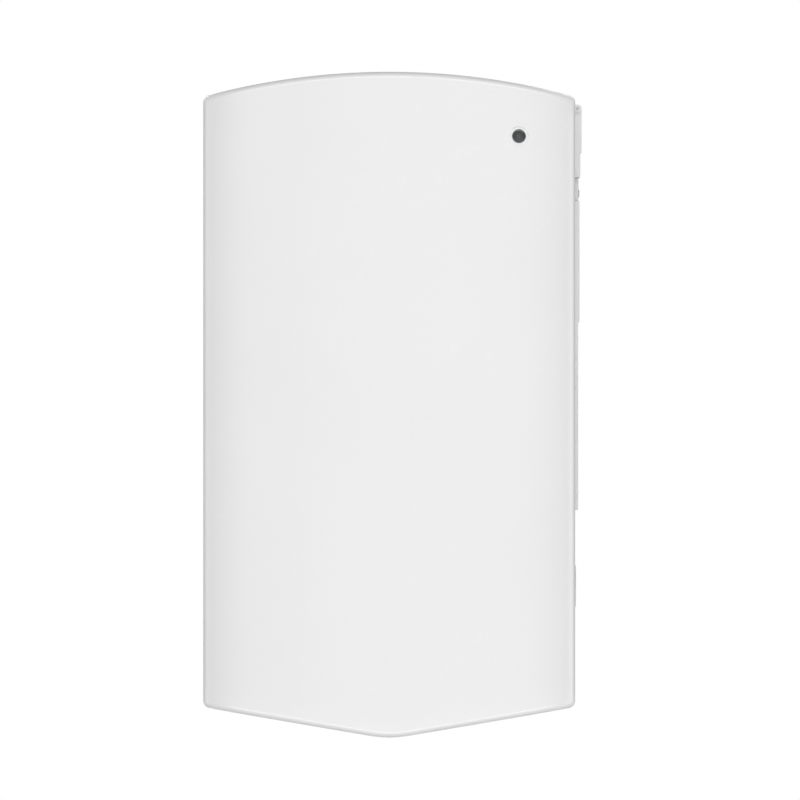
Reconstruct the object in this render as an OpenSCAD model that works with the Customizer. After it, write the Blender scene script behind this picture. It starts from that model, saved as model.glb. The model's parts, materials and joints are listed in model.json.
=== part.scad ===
// Wall battery unit: a domed plastic front over a hung steel and aluminium
// battery case, four micro-inverters, a wiring compartment and an isolator.
// Millimetres. +X is right as seen from the front, -Y is the front, +Z is up.
// The origin is the centre of the wall bolt pattern, on the wall.

/* [Body] */
// Width across the covers
body_w = 372; // [310:1:447]
// Height from the tip of the bottom edge to the crown of the top edge
body_h = 664; // [553:1:797]
// Depth from the wall to the middle of the front
body_d = 318; // [265:1:382]

/* [Covers] */
// Wall of the plastic covers
cover_t = 3; // [2:0.5:3.4]
// Height of the crown of the top edge above its corners
top_rise = 24; // [14:1:40]
// Slope of the two halves of the bottom edge
bottom_angle = 9.5; // [5:0.5:14]
// Radius of the tip of the bottom edge
apex_r = 110; // [40:5:160]
// Radius of the four corners seen from the front
corner_r = 7; // [7:0.5:14]
// Radius of the front in plan
bulge_r = 760; // [500:10:1200]
// Radius of the shoulders at the sides of the front
shoulder_r = 100; // [70:5:130]
// Slope of the front where a shoulder meets the rim
shoulder_angle = 38; // [28:1:50]
// Radius of the vertical front edges
rim_r = 4; // [4:0.5:8]
// Depth of the side, top and bottom covers
side_d = 174; // [150:1:190]
// Gap between those covers and the wall
wall_gap = 14; // [8:1:20]
// Gap between them and the front cover
seam_gap = 2; // [1.5:0.5:4]
// Distance of the seams of the top and bottom covers from the sides
split_in = 22; // [18:1:40]
// Height of a cooling slot
slot_h = 5; // [3:0.5:7]
// Distance between cooling slots
slot_pitch = 13; // [10:0.5:20]

/* [Status light] */
// Distance of the light from the right side
light_in = 56.5; // [40:0.5:90]
// Distance of the light below the top corner
light_down = 40; // [30:0.5:60]
// Radius of the window
lens_r = 6.8; // [4:0.2:9]
// Width of the ring round the window
bezel_w = 2.8; // [2:0.2:5]

/* [Wall bracket] */
// Sheet of the bracket and its rail
bracket_t = 2.5; // [2:0.5:4]
// Distance between wall bolts across
bolt_dx = 200; // [120:10:220]
// Distance between wall bolts up
bolt_dz = 280; // [160:10:320]
// Radius of a wall bolt's hole
bolt_r = 4.5; // [3.5:0.5:6.5]
// Height of the hook
hook_h = 18; // [12:1:26]

/* [Battery case] */
// Gap between the outside of the covers and the case
case_gap = 16; // [15:1:30]
// Gap between the wall and the case
rear_gap = 24; // [20:1:36]
// Depth of the case
case_d = 176; // [146:1:190]
// Sheet of the case and the wiring compartment
case_t = 2; // [1.5:0.5:3]
// Height of the case above the lower corners
case_lift = 36; // [20:1:60]
// Flange that the lids seat on
flange_w = 14; // [12:1:20]
// Thickness of the lids
lid_t = 3; // [2:0.5:5]
// Thickness of the lid gaskets
gasket_t = 1.5; // [1:0.5:3]
// Rows of cells, one above the other
cell_rows = 3; // [2:1:3]
// Cells side by side in a row
cells_per_row = 7; // [5:1:7]
// Thickness of a cell
cell_t = 26.7; // [20:0.1:27]
// Thickness of a module's end plate
end_plate_t = 10; // [6:1:12]
// Depth kept free in front of the cells
electronics_d = 38; // [34:1:44]

/* [Wiring compartment] */
// Height of the compartment
wiring_h = 92; // [76:1:111]
// Depth of the compartment
wiring_d = 130; // [108:1:156]
// Gap between the compartment and the top corners
wiring_clear = 12; // [11:1:20]
// Gap between the compartment and the battery case
stack_gap = 8; // [6:1:14]
// Bore for a conduit, radius
conduit_r = 14; // [10:0.5:16]

/* [Inverters] */
// Depth of an inverter
inverter_d = 38; // [30:1:42]
// Gap round an inverter
inverter_gap = 13; // [12:1:18]

/* [Right side] */
// Height of the isolator flap
flap_h = 73; // [60:1:88]
// Thickness of the flap
flap_t = 8.1; // [7:0.1:9.5]
// Thickness that the flap loses at its lower edge
flap_step = 1.4; // [0.5:0.1:2]
// Depth of the flap and the vent panel, front to back
side_fitting_d = 118; // [98:1:124]
// Thickness of the upper part of the vent panel
vent_t = 6.1; // [4:0.1:8]
// Thickness that its lower part loses
vent_step = 1.4; // [0.5:0.1:2]
// Height left for the reset button, between the flap and the vent panel
reset_h = 24; // [18:0.5:40]
// Height of its upper part
vent_upper_h = 123; // [60:1:130]
// Distance of its lower edge above the lower corner
vent_up = 196; // [150:1:220]
// Distance of the cable cap above the lower corner
cap_up = 118; // [90:1:130]
// Radius of the cable cap
cap_r = 22; // [14:1:24]
// How far the cap stands out
cap_t = 3.3; // [2:0.1:5]
// Radius of the reset button
button_r = 4; // [3:0.5:6]
// Travel of the reset button
button_travel = 1; // [0.5:0.25:1.5]

/* [Hidden] */

// Clearances
run_fit = 0.05;   // a moving pin in its bore
part_gap = 0.3;   // moving pieces that only pass each other
cut = 1;          // how far a cutting tool runs past what it cuts
gap = 0.3;        // between fixed pieces that pass each other

// Front outline
hw = body_w / 2;
z_top = body_h / 2;
z_bot = -body_h / 2;
y_front = -body_d;
top_r = (hw * hw + top_rise * top_rise) / (2 * top_rise);
top_cz = z_top - top_r;
corner_cx = hw - corner_r;
corner_top_cz = top_cz + sqrt(pow(top_r - corner_r, 2) - pow(corner_cx, 2));
top_a = atan2(corner_top_cz - top_cz, corner_cx);
apex_cz = z_bot + apex_r;
corner_low_cz = apex_cz
    + (sin(bottom_angle) * corner_cx - apex_r + corner_r) / cos(bottom_angle);
z_shoulder = z_top - top_rise;
z_foot = apex_cz + (sin(bottom_angle) * hw - apex_r) / cos(bottom_angle);
corner_n = 5;
top_n = 18;
apex_n = 6;

// Plan section of the front cover
y_seam = -(wall_gap + side_d);
y_cover = y_seam - seam_gap;
dome_a = asin((hw - rim_r - (shoulder_r - rim_r) * sin(shoulder_angle))
    / (bulge_r - shoulder_r));
dome_c = [0, y_front + bulge_r];
shoulder_c = dome_c + (bulge_r - shoulder_r) * [sin(dome_a), -cos(dome_a)];
rim_c = shoulder_c + (shoulder_r - rim_r) * [sin(shoulder_angle), -cos(shoulder_angle)];
dome_n = 8;
shoulder_n = 8;
rim_n = 4;

// Battery case
case_hw = hw - case_gap;
case_y0 = -rear_gap;
case_y1 = case_y0 - case_d;
box_z1 = z_shoulder - wiring_clear;
box_z0 = box_z1 - wiring_h;
case_z1 = box_z0 - stack_gap;
case_z0 = z_foot + case_lift;
case_zm = (case_z0 + case_z1) / 2;
lid_y0 = case_y1 - gasket_t;
lid_y1 = lid_y0 - lid_t;
box_y1 = case_y0 - wiring_d;
box_lid_y0 = box_y1 - gasket_t;
box_lid_y1 = box_lid_y0 - lid_t;

// Lid screws: M5 on the flanges, the gasket inside their line
screw_in = 4.5;
screw_r = 2.5;
screw_hole_r = 2.7;
screw_head_r = 4.2;
screw_head_h = 3;
lid_screw_nx = 4;
lid_screw_nz = 8;
box_screw_nx = 5;
gasket_in = 8;
gasket_w = 4.5;

// Cells and what joins them
pack_gap = 2;
row_gap = 3;
spacer_t = 1;
inner_h = case_z1 - case_z0 - 2 * case_t;
cell_l = (inner_h - 2 * pack_gap - (cell_rows - 1) * row_gap) / cell_rows;
cell_y0 = case_y0 - case_t - pack_gap;
cell_y1 = case_y1 + electronics_d;
cell_pitch = cell_t + spacer_t;
pack_x0 = -case_hw + case_t + 3;
cell_x0 = pack_x0 + end_plate_t + spacer_t;
pack_x1 = cell_x0 + cells_per_row * cell_pitch + end_plate_t;
terminal_r = 6;
terminal_h = 3;
busbar_t = 2;
busbar_w = 14;
bar_y = cell_y1 - terminal_h;
bay_x = (pack_x1 + case_hw - case_t) / 2;
cable_r = 4.5;
cable_dx = 22;
post_r = 4;
lug_r = 8;

// Inverters, two by two
inv_w = (2 * case_hw - 3 * inverter_gap) / 2;
inv_h = (case_z1 - case_z0 - 3 * inverter_gap) / 2;
inv_foot_t = 3;

// Hanging hook
rail_lip = 14;
rail_gap = 3;
hook_z = bolt_dz / 2 + 30;
hook_top = hook_z + hook_h;
hook_y = -hook_reach();
function hook_reach() = (rear_gap + bracket_t) / 2;
rail_w = 230;
spine_x = 120;
spine_w = 36;
lock_z = -bolt_dz / 2 - 30;
foot_x = 30;

// Cover fixings
stud_r = 3;
stud_x = case_hw - inverter_gap / 2;
stud_step = (case_z1 - case_z0 - 2 * screw_in) / lid_screw_nz;
stud_z = [case_z0 + screw_in + 0.5 * stud_step, case_z1 - screw_in - 0.5 * stud_step];
boss_r = 7.5;
stud_front_y = shoulder_c[1] - sqrt(pow(shoulder_r, 2) - pow(stud_x - shoulder_c[0], 2));
boss_y = (lid_y1 + stud_front_y) / 2;
grommet_l = 12;
grommet_r = 5.2;
groove_t = 0.8;
groove_y = [3, 9];
lip_gap = gap;
lip_t = 2;
lip_l = 11.5;
lip_root = 4;
split_x = hw - split_in;
split_gap = 0.8;
tab_w = 22;
tab_t = 2;
tab_hole_z = 11;
tab_front_y = y_seam + 22;
tab_rear_y = -wall_gap - 26;
side_tabs = [
    [tab_front_y, case_z0 + 24],
    [tab_rear_y, case_z0 + 24], [tab_rear_y, case_zm], [tab_rear_y, case_z1 - 40]
];
edge_tab_x = split_x - 40;
edge_tab_hx = 10;
edge_tab_y = [-wall_gap - 60, -wall_gap - 106];
cover_screw_r = 2;
cover_hole_r = 2.2;
cover_head_r = 3.6;
cover_head_h = 2;
cover_head_sink = 1.2;

slot_l = 34;
slot_y = [-wall_gap - 10, y_seam + 42];

// Status light
light_x = hw - light_in;
light_z = z_shoulder - light_down;
light_tilt = asin(light_x / bulge_r);
light_y = dome_c[1] - sqrt(pow(bulge_r, 2) - pow(light_x, 2));
bezel_r = lens_r + bezel_w;
bezel_wall = 1.4;
pipe_r = 4;
pipe_gap = 2.5;
lens_t = 4;

// Right side fittings
fit_y1 = y_seam + 4;
fit_y0 = fit_y1 + side_fitting_d;
flap_z1 = z_shoulder - 5;
flap_z0 = flap_z1 - flap_h;
hinge_r = flap_t / 2;
hinge_x = hw + part_gap + hinge_r;
hinge_z = flap_z1 - hinge_r;
hinge_pin_r = 1.5;
pin_in_flap = 12;
ear_t = 5;
flap_wall = 2;
flap_step_h = 25;
window_y = [box_y1 + 5, fit_y0 - ear_t - 8];
window_hz = flap_h / 2 - 9.5;
iso_y = (window_y[0] + window_y[1]) / 2 + 5;
iso_z = (flap_z0 + flap_z1) / 2 - 1;
iso_h = 2 * window_hz;
iso_d = window_y[1] - window_y[0] - 16;
iso_w = 46;
iso_shaft_r = 4;
knob_r = 19;
vent_z1 = flap_z0 - reset_h;
vent_z0 = z_foot + vent_up;
pad_t = vent_t - 0.3;
pad_w = 24;
pad_z1 = flap_z0 - 1.5;
pad_z0 = vent_z1 + 1;
button_y = fit_y1 + 50;
button_z = (pad_z0 + pad_z1) / 2 - 3.5;
button_proud = 0.9;
vent_mid = vent_z1 - vent_upper_h;
vent_rim = 12;
cap_z = z_foot + cap_up;
cap_y = (fit_y0 + fit_y1) / 2;
cap_plug_r = cap_r - 4;
hub_y = case_y0 - wiring_d / 2;
hub_z = (box_z0 + box_z1) / 2;
hub_r = conduit_r + 4;
hub_hole_r = conduit_r + 2.5;
hub_reach = case_gap - 2;

// Breaker
breaker_w = 36;
breaker_x = -32;
breaker_z = (box_z0 + box_z1) / 2;
breaker_h = wiring_h - 2 * case_t - 10;
nose_h = 44;
nose_y = box_lid_y1 - 1.5;
toggle_r = 6;
toggle_y = nose_y + 2;
rail_y = case_y0 - 62;

// Mathematics of the outlines: arcs as lists of points
function polar(c, r, a) = c + r * [cos(a), sin(a)];
function arc(c, r, a0, a1, n, last = 0) =
    [for (i = [0 : n - last]) polar(c, r, a0 + (a1 - a0) * i / n)];
function outline(d) = concat(
    arc([corner_cx, corner_low_cz], corner_r - d, bottom_angle - 90, 0, corner_n),
    arc([corner_cx, corner_top_cz], corner_r - d, 0, top_a, corner_n, 1),
    arc([0, top_cz], top_r - d, top_a, 180 - top_a, top_n, 1),
    arc([-corner_cx, corner_top_cz], corner_r - d, 180 - top_a, 180, corner_n),
    arc([-corner_cx, corner_low_cz], corner_r - d, 180, 270 - bottom_angle, corner_n),
    arc([0, apex_cz], apex_r - d, 270 - bottom_angle, 270 + bottom_angle, apex_n)
);
function half_section(d) = concat(
    arc(dome_c, bulge_r - d, -90, dome_a - 90, dome_n, 1),
    arc(shoulder_c, shoulder_r - d, dome_a - 90, shoulder_angle - 90, shoulder_n, 1),
    arc(rim_c, rim_r - d, shoulder_angle - 90, 0, rim_n)
);
function top_z(x, d) = top_cz + sqrt(pow(top_r - d, 2) - x * x);
function foot_z(x, d) = apex_cz + (sin(bottom_angle) * x - apex_r + d) / cos(bottom_angle);
function flip(p) = [-p[0], p[1]];

function span(c, a, b) = [c + a, c + b];
function about(c, h) = [c - h, c + h];

// Basic shapes
module box(x, y, z) {
    translate([min(x), min(y), min(z)])
        cube([max(x) - min(x), max(y) - min(y), max(z) - min(z)]);
}
module rod_x(y, z, r, x, n = 32) {
    translate([min(x), y, z]) rotate([0, 90, 0]) cylinder(h = max(x) - min(x), r = r, $fn = n);
}
module rod_y(x, z, r, y, n = 32) {
    translate([x, max(y), z]) rotate([90, 0, 0]) cylinder(h = max(y) - min(y), r = r, $fn = n);
}
module rod_z(x, y, r, z, n = 32) {
    translate([x, y, min(z)]) cylinder(h = max(z) - min(z), r = r, $fn = n);
}
// A front-view outline carried from y0 to y1
module along_y(y0, y1) {
    translate([0, max(y0, y1), 0]) rotate([90, 0, 0]) linear_extrude(abs(y1 - y0)) children();
}
// Two mirrored copies, left and right
module both_sides() {
    children();
    mirror([1, 0, 0]) children();
}

// Band of the front outline between two insets
module band(d0, d1, y0, y1) {
    difference() {
        along_y(y0, y1) polygon(outline(d0));
        along_y(max(y0, y1) + cut, min(y0, y1) - cut) polygon(outline(d1));
    }
}
// The band that the side, top and bottom covers are cut from, with the lip
// that runs on inside the front cover
module cover_band() {
    band(0, cover_t, -wall_gap, y_seam);
    band(cover_t - 0.5, cover_t + lip_gap + lip_t, y_seam + lip_root, y_seam);
    band(cover_t + lip_gap, cover_t + lip_gap + lip_t, y_seam + lip_root / 2, y_seam - lip_l);
}

// Wall bracket: a plate with four bolt holes, an upturned hook and a lock tab
module wall_bracket() {
    plate_x = bolt_dx / 2 + 25;
    tie_x = bolt_dx / 2 - 30;
    color("lightslategray") difference() {
        union() {
            box([-plate_x, plate_x], [0, -bracket_t], [lock_z, hook_z]);
            box([-rail_w / 2, rail_w / 2], [0, hook_y - bracket_t / 2], [hook_z, hook_z - bracket_t]);
            box([-rail_w / 2, rail_w / 2], about(hook_y, bracket_t / 2), [hook_z - bracket_t, hook_top]);
            box([-1, 1] * (foot_x + 10), [0, lock_y() - lock_edge], span(lock_z, 0, bracket_t));
        }
        for (x = [-1, 1], z = [-1, 1])
            rod_y(x * bolt_dx / 2, z * bolt_dz / 2, bolt_r, [cut, -bracket_t - cut]);
        box([-tie_x, tie_x], [cut, -bracket_t - cut], [35, bolt_dz / 2 - 30]);
        box([-tie_x, tie_x], [cut, -bracket_t - cut], [-35, 30 - bolt_dz / 2]);
        rod_z(0, lock_y(), screw_hole_r, [lock_z - cut, lock_z + bracket_t + cut]);
    }
}
lock_edge = 4.5;
function lock_y() = case_y0 + bracket_t + 6 + lock_edge;

// Frame on the back of the boxes: a downturned rail, two spines and a foot
module hanger_frame() {
    y1 = case_y0 + bracket_t;
    lip_y = hook_y + bracket_t / 2 + rail_gap;
    color("lightslategray") difference() {
        union() {
            box([-1, 1] * (spine_x + spine_w / 2), [case_y0, y1], span(hook_top, -30, bracket_t));
            box([-rail_w / 2, rail_w / 2], [y1, lip_y + bracket_t], [hook_top, hook_top + bracket_t]);
            box([-rail_w / 2, rail_w / 2], [lip_y, lip_y + bracket_t], [hook_top, hook_top - rail_lip]);
            both_sides()
                box(about(spine_x, spine_w / 2), [case_y0, y1], [case_z0 + 12, box_z1 - 8]);
            box([-spine_x, spine_x], [case_y0, y1], [lock_z + 2 * bracket_t, lock_z + 40]);
            box([-foot_x, foot_x], [y1, -bracket_t - 0.5], span(lock_z, 1.2 * bracket_t, 2.2 * bracket_t));
            box([-foot_x, foot_x], [case_y0, y1], span(lock_z, 1.2 * bracket_t, 10));
        }
        for (p = frame_screws()) rod_y(p[0], p[1], screw_hole_r, [y1 + cut, case_y0 - cut]);
        rod_z(0, lock_y(), screw_hole_r, [lock_z, lock_z + 4 * bracket_t]);
    }
}
frame_screw_z = [case_z0 + 30, case_zm, case_z1 - 16, box_z0 + 16, box_z1 - 18];
function frame_screws() = [for (s = [-1, 1], z = frame_screw_z) [s * spine_x, z]];

// A pan head and its shank, head on the +Z side of the origin
module screw(r, l, head_r, head_h) {
    translate([0, 0, -l]) cylinder(h = l, r = r, $fn = 24);
    difference() {
        cylinder(h = head_h, r = head_r, $fn = 32);
        translate([0, 0, head_h * 0.5]) cylinder(h = head_h, r = head_r * 0.45, $fn = 6);
    }
}

// Points on a rectangular flange at a distance from its edges
function flange_points(z0, z1, nx, nz) = concat(
    [for (i = [0 : nz], s = [-1, 1])
        [s * (case_hw - screw_in), z0 + screw_in + i * (z1 - z0 - 2 * screw_in) / nz]],
    [for (i = [1 : nx - 1], z = [z0 + screw_in, z1 - screw_in])
        [(i / nx * 2 - 1) * (case_hw - screw_in), z]]
);
function case_screws() = flange_points(case_z0, case_z1, lid_screw_nx, lid_screw_nz);
function box_screws() = flange_points(box_z0, box_z1, box_screw_nx, 2);

// A sheet box open at the front, with a flange turned inwards
module sheet_box(z0, z1, y1) {
    difference() {
        box([-case_hw, case_hw], [case_y0, y1], [z0, z1]);
        box([-1, 1] * (case_hw - case_t), [case_y0 - case_t, y1 + case_t], [z0 + case_t, z1 - case_t]);
        box([-1, 1] * (case_hw - flange_w), [y1 + 2 * case_t, y1 - cut], [z0 + flange_w, z1 - flange_w]);
    }
}

// Battery case with its screw holes, cable holes and breather hole
module battery_case() {
    color("dimgray") difference() {
        sheet_box(case_z0, case_z1, case_y1);
        for (p = case_screws()) rod_y(p[0], p[1], screw_r, [case_y1 - cut, case_y1 + case_t + cut], 24);
        for (p = frame_screws()) if (p[1] < case_z1) frame_hole(p);
        for (x = cable_x()) rod_z(x, cable_y, cable_r + 3, [case_z1 - case_t - cut, case_z1 + cut]);
        rod_z(bay_x, breather_y, breather_r, [case_z0 - cut, case_z0 + case_t + cut]);
    }
}
module frame_hole(p) {
    rod_y(p[0], p[1], screw_r, [case_y0 + cut, case_y0 - case_t - cut], 24);
}
function cable_x() = [bay_x - cable_dx / 2, bay_x + cable_dx / 2];
cable_y = case_y0 - 60;
breather_r = 5;
breather_y = case_y0 - 20;

// Aluminium lid of the battery case, which also spreads heat
module case_lid() {
    color("silver") difference() {
        union() {
            box([-case_hw, case_hw], [lid_y0, lid_y1], [case_z0, case_z1]);
            for (z = stud_z) both_sides() rod_y(stud_x, z, stud_r + 1.5, [lid_y1 + 1, lid_y1 - 2]);
        }
        for (p = case_screws()) rod_y(p[0], p[1], screw_hole_r, [lid_y0 + cut, lid_y1 - cut], 24);
        for (z = stud_z) both_sides() rod_y(stud_x, z, stud_r - 0.5, [lid_y0 + cut, lid_y1 - 4]);
    }
}

module gasket(z0, z1, y) {
    difference() {
        box([-1, 1] * (case_hw - gasket_in), [y, y - gasket_t], [z0 + gasket_in, z1 - gasket_in]);
        box([-1, 1] * (case_hw - gasket_in - gasket_w), [y + cut, y - gasket_t - cut],
            [z0 + gasket_in + gasket_w, z1 - gasket_in - gasket_w]);
    }
}
// Foam gaskets under the two lids
module lid_gaskets() {
    color("black") {
        gasket(case_z0, case_z1, case_y1);
        gasket(box_z0, box_z1, box_y1);
    }
}

// The M5 screws: frame to both boxes, the lock screw below, and both lids
module machine_screws() {
    color("silver") {
        for (p = frame_screws())
            translate([p[0], case_y0 + bracket_t, p[1]]) rotate([-90, 0, 0])
                screw(screw_r, bracket_t + case_t, screw_head_r, screw_head_h);
        translate([0, lock_y(), lock_z]) rotate([180, 0, 0])
            screw(screw_r, 12, screw_head_r, screw_head_h);
        for (p = case_screws())
            translate([p[0], lid_y1, p[1]]) rotate([90, 0, 0])
                screw(screw_r, lid_t + gasket_t + case_t, screw_head_r, screw_head_h);
        for (p = box_screws())
            translate([p[0], box_lid_y1, p[1]]) rotate([90, 0, 0])
                screw(screw_r, lid_t + gasket_t + case_t, screw_head_r, screw_head_h);
    }
}

function row_z(j) = case_z0 + case_t + pack_gap + j * (cell_l + row_gap);
function cell_x(i) = cell_x0 + i * cell_pitch;
function terminal_z(j, s) = row_z(j) + cell_l / 2 + s * cell_l * 0.3;

// Prismatic cells with their terminals, terminals to the front
module cells() {
    color("steelblue") for (j = [0 : cell_rows - 1], i = [0 : cells_per_row - 1]) {
        box(span(cell_x(i), 0, cell_t), [cell_y0, cell_y1], span(row_z(j), 0, cell_l));
        for (s = [-1, 1]) rod_y(cell_x(i) + cell_t / 2, terminal_z(j, s), terminal_r, [cell_y1 + cut, bar_y]);
    }
}

// Insulating sheets between the cells, and the pad that each row stands on
module cell_spacers() {
    color("khaki") for (j = [0 : cell_rows - 1]) {
        for (i = [0 : cells_per_row])
            box(span(cell_x(i), -spacer_t, 0), [cell_y0 - 2, cell_y1 + 2], span(row_z(j), 2, cell_l - 2));
        box([pack_x0, pack_x1], about((cell_y0 + cell_y1) / 2, pad_d / 2),
            span(row_z(j), j == 0 ? -pack_gap : -row_gap, 0));
    }
}
pad_d = 40;

// Aluminium end plates of each row of cells
module end_plates() {
    color("silver") for (j = [0 : cell_rows - 1], x = [pack_x0, pack_x1 - end_plate_t])
        difference() {
            box(span(x, 0, end_plate_t), [cell_y0, cell_y1], span(row_z(j), 0, cell_l));
            for (y = strap_y()) box(span(x, -cut, end_plate_t + cut), about(y, strap_w / 2),
                [row_z(j) + cell_l - strap_t, row_z(j) + cell_l + cut]);
            for (k = [1 : 3]) rod_y(x + end_plate_t / 2, row_z(j) + k * cell_l / 4, 2,
                [cell_y1 - cut, cell_y1 + 12], 24);
        }
}
strap_w = 16;
strap_t = 1;
function strap_y() = [cell_y0 - 30, cell_y1 + 30];

// Steel straps that pull the end plates together over each row
module module_straps() {
    color("gainsboro") for (j = [0 : cell_rows - 1], y = strap_y()) {
        z = row_z(j) + cell_l;
        difference() {
            box([pack_x0 - strap_t, pack_x1 + strap_t], about(y, strap_w / 2), [z - 20, z + strap_t]);
            box([pack_x0, pack_x1], span(y, -strap_w / 2 - cut, strap_w / 2 + cut), [z - 20 - cut, z]);
        }
    }
}

// Copper links from cell to cell, with a riser to the electronics bay
module busbars() {
    last_x = cell_x(cells_per_row - 1);
    color("peru") {
        for (j = [0 : cell_rows - 1], i = [0 : cells_per_row - 2]) link(i, j, i % 2 == 0 ? 1 : -1);
        for (j = [0 : cell_rows - 2]) box(about(last_x + cell_t / 2, busbar_w / 2),
            [bar_y, bar_y - busbar_t],
            [terminal_z(j, 1) - busbar_w / 2, terminal_z(j + 1, -1) + busbar_w / 2]);
        for (s = [-1, 1]) box([last_x + 4, bay_x + s * cable_dx / 2], [bar_y, bar_y - busbar_t],
            about(terminal_z(s < 0 ? 0 : cell_rows - 1, s), busbar_w / 2));
    }
}
module link(i, j, s) {
    box([cell_x(i) + (cell_t - busbar_w) / 2, cell_x(i + 1) + (cell_t + busbar_w) / 2],
        [bar_y, bar_y - busbar_t], about(terminal_z(j, s), busbar_w / 2));
}

// Board of the battery management system, over the middle of the cells
board_y = bar_y - 11;
board_t = 1.6;
board_x = [pack_x0 + 12, pack_x1 - 12];
board_z = [row_z(0) + 40, row_z(cell_rows - 1) + cell_l - 40];
chip_pitch = (board_x[1] - board_x[0] - 77) / 3;
standoff_r = 4;
standoff_pin_r = 2;
module bms_board() {
    color("darkgreen") difference() {
        box(board_x, [board_y, board_y - board_t], board_z);
        for (p = standoff_points())
            rod_y(p[0], p[1], standoff_pin_r, [board_y + cut, board_y - board_t - cut], 24);
    }
}
function standoff_points() = [for (x = board_x + [5, -5], j = [0 : cell_rows - 1])
    [x, row_z(j) + cell_l / 2]];

// Connectors, relays and chips on the board
module bms_components() {
    y = board_y - board_t;
    color("black") {
        for (i = [0 : 3]) box(span(board_x[0] + 30 + i * chip_pitch, 0, 18), [y, y - 3], about(case_zm, 9));
        for (i = [0 : 5]) box(span(board_x[0] + 8, 0, 10), [y, y - 8], span(board_z[0] + 30 + i * 40, 0, 24));
        for (i = [0 : 4]) rod_y(board_x[1] - 20, board_z[0] + 40 + i * 30, 6, [y, y - 9]);
        box(span(board_x[1], -70, -40), [y, y - 10], span(board_z[1], -60, -24));
    }
}

// Posts that carry the board on the cells' terminal covers
module board_standoffs() {
    color("wheat") for (p = standoff_points()) {
        rod_y(p[0], p[1], standoff_r, [cell_y1, board_y], 24);
        rod_y(p[0], p[1], standoff_pin_r, [board_y, board_y - board_t - 2], 24);
    }
}

// Main fuse in its holder, in the electronics bay
fuse_z = case_z0 + (case_z1 - case_z0) * 0.3;
contactor_z = case_z0 + (case_z1 - case_z0) * 0.62;
bay_w = 2 * (case_hw - case_t - bay_x) - 12;
module main_fuse() {
    y = case_y0 - case_t;
    color("ivory") box(about(bay_x, 20), [y, y - 14], about(fuse_z, 48));
    color("sienna") rod_z(bay_x, y - 30, 14, about(fuse_z, 26));
    color("silver") for (s = [-1, 1]) box(about(bay_x, 9), [y - 13, y - 38], span(fuse_z, s * 26, s * 38));
}

// Contactor that cuts the battery off
module contactor() {
    y = case_y0 - case_t;
    color("black") {
        box(about(bay_x, bay_w / 2), [y, y - 4], about(contactor_z, 34));
        rod_y(bay_x, contactor_z, min(30, bay_w / 2), [y - 4, y - 46]);
    }
    color("peru") for (x = cable_x()) rod_y(x, contactor_z, post_r, [y - 46, cable_y - 5]);
}

// The two battery cables, from the contactor up to the isolator
module dc_cables() {
    color("black") for (x = cable_x()) {
        difference() {
            union() {
                rod_y(x, contactor_z, lug_r, about(cable_y, 1.5));
                rod_z(x, cable_y, cable_r - 1.5, span(contactor_z, lug_r - 1, lug_r + 6));
            }
            rod_y(x, contactor_z, post_r, about(cable_y, 4));
        }
        rod_z(x, cable_y, cable_r, [contactor_z + lug_r + 4, iso_z - iso_h / 2]);
    }
}

// Grommets where those cables pass from box to box
module pass_grommets() {
    color("black") for (x = cable_x()) translate([x, cable_y, 0]) rotate_extrude($fn = 32) polygon([
        [cable_r, case_z1 - case_t - 3], [cable_r + 5, case_z1 - case_t - 3],
        [cable_r + 5, case_z1 - case_t], [cable_r + 3, case_z1 - case_t],
        [cable_r + 3, case_z1], [cable_r + 5, case_z1],
        [cable_r + 5, box_z0], [cable_r + 3, box_z0],
        [cable_r + 3, box_z0 + case_t], [cable_r + 5, box_z0 + case_t],
        [cable_r + 5, box_z0 + case_t + 3], [cable_r, box_z0 + case_t + 3]
    ]);
}

// Vent plug in the floor of the battery case
module breather_plug() {
    color("gray") translate([bay_x, breather_y, case_z0]) difference() {
        union() {
            translate([0, 0, -7]) cylinder(h = 7, r = 9, $fn = 48);
            cylinder(h = case_t + 3, r = breather_r, $fn = 32);
        }
        translate([0, 0, -5]) cylinder(h = case_t + 3 + 5 + cut, r = 2.5, $fn = 24);
        for (a = [0, 90]) rotate([0, 0, a]) translate([-10, -1, -6]) cube([20, 2, 2]);
    }
}

// One inverter: a mounting foot, a cast body and cooling fins, ready for the
// lid. Column and row count from the lower left.
inv_body_t = inverter_d - inv_foot_t - 10;
fin_t = 2;
fin_n = 11;
function inv_x(c) = -case_hw + inverter_gap + c * (inv_w + inverter_gap);
function inv_z(r) = case_z0 + inverter_gap + r * (inv_h + inverter_gap);
module microinverter(c, r) {
    x = span(inv_x(c), 0, inv_w);
    z = span(inv_z(r), 0, inv_h);
    y_body = lid_y1 - inv_foot_t - inv_body_t;
    pitch = (inv_w - 24 - fin_t) / (fin_n - 1);
    color("darkgray") difference() {
        union() {
            box(x, [lid_y1, lid_y1 - inv_foot_t], z);
            box(x + [6, -6], [lid_y1 - cut, y_body], z + [12, -12]);
            for (i = [0 : fin_n - 1]) box(span(x[0] + 12 + i * pitch, 0, fin_t),
                [y_body + cut, lid_y1 - inverter_d], z + [20, -20]);
        }
        for (p = inv_screws(x, z)) rod_y(p[0], p[1], screw_r, [lid_y1 + cut, lid_y1 - inv_foot_t - cut], 24);
    }
    color("silver") for (p = inv_screws(x, z))
        rod_y(p[0], p[1], 3.8, [lid_y1 - inv_foot_t, lid_y1 - inv_foot_t - 2.5], 24);
}
function inv_screws(x, z) = [for (px = [x[0] + 14, x[1] - 14], pz = [z[0] + 6, z[1] - 6]) [px, pz]];
module microinverter_1() { microinverter(0, 0); }
module microinverter_2() { microinverter(1, 0); }
module microinverter_3() { microinverter(0, 1); }
module microinverter_4() { microinverter(1, 1); }

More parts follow.
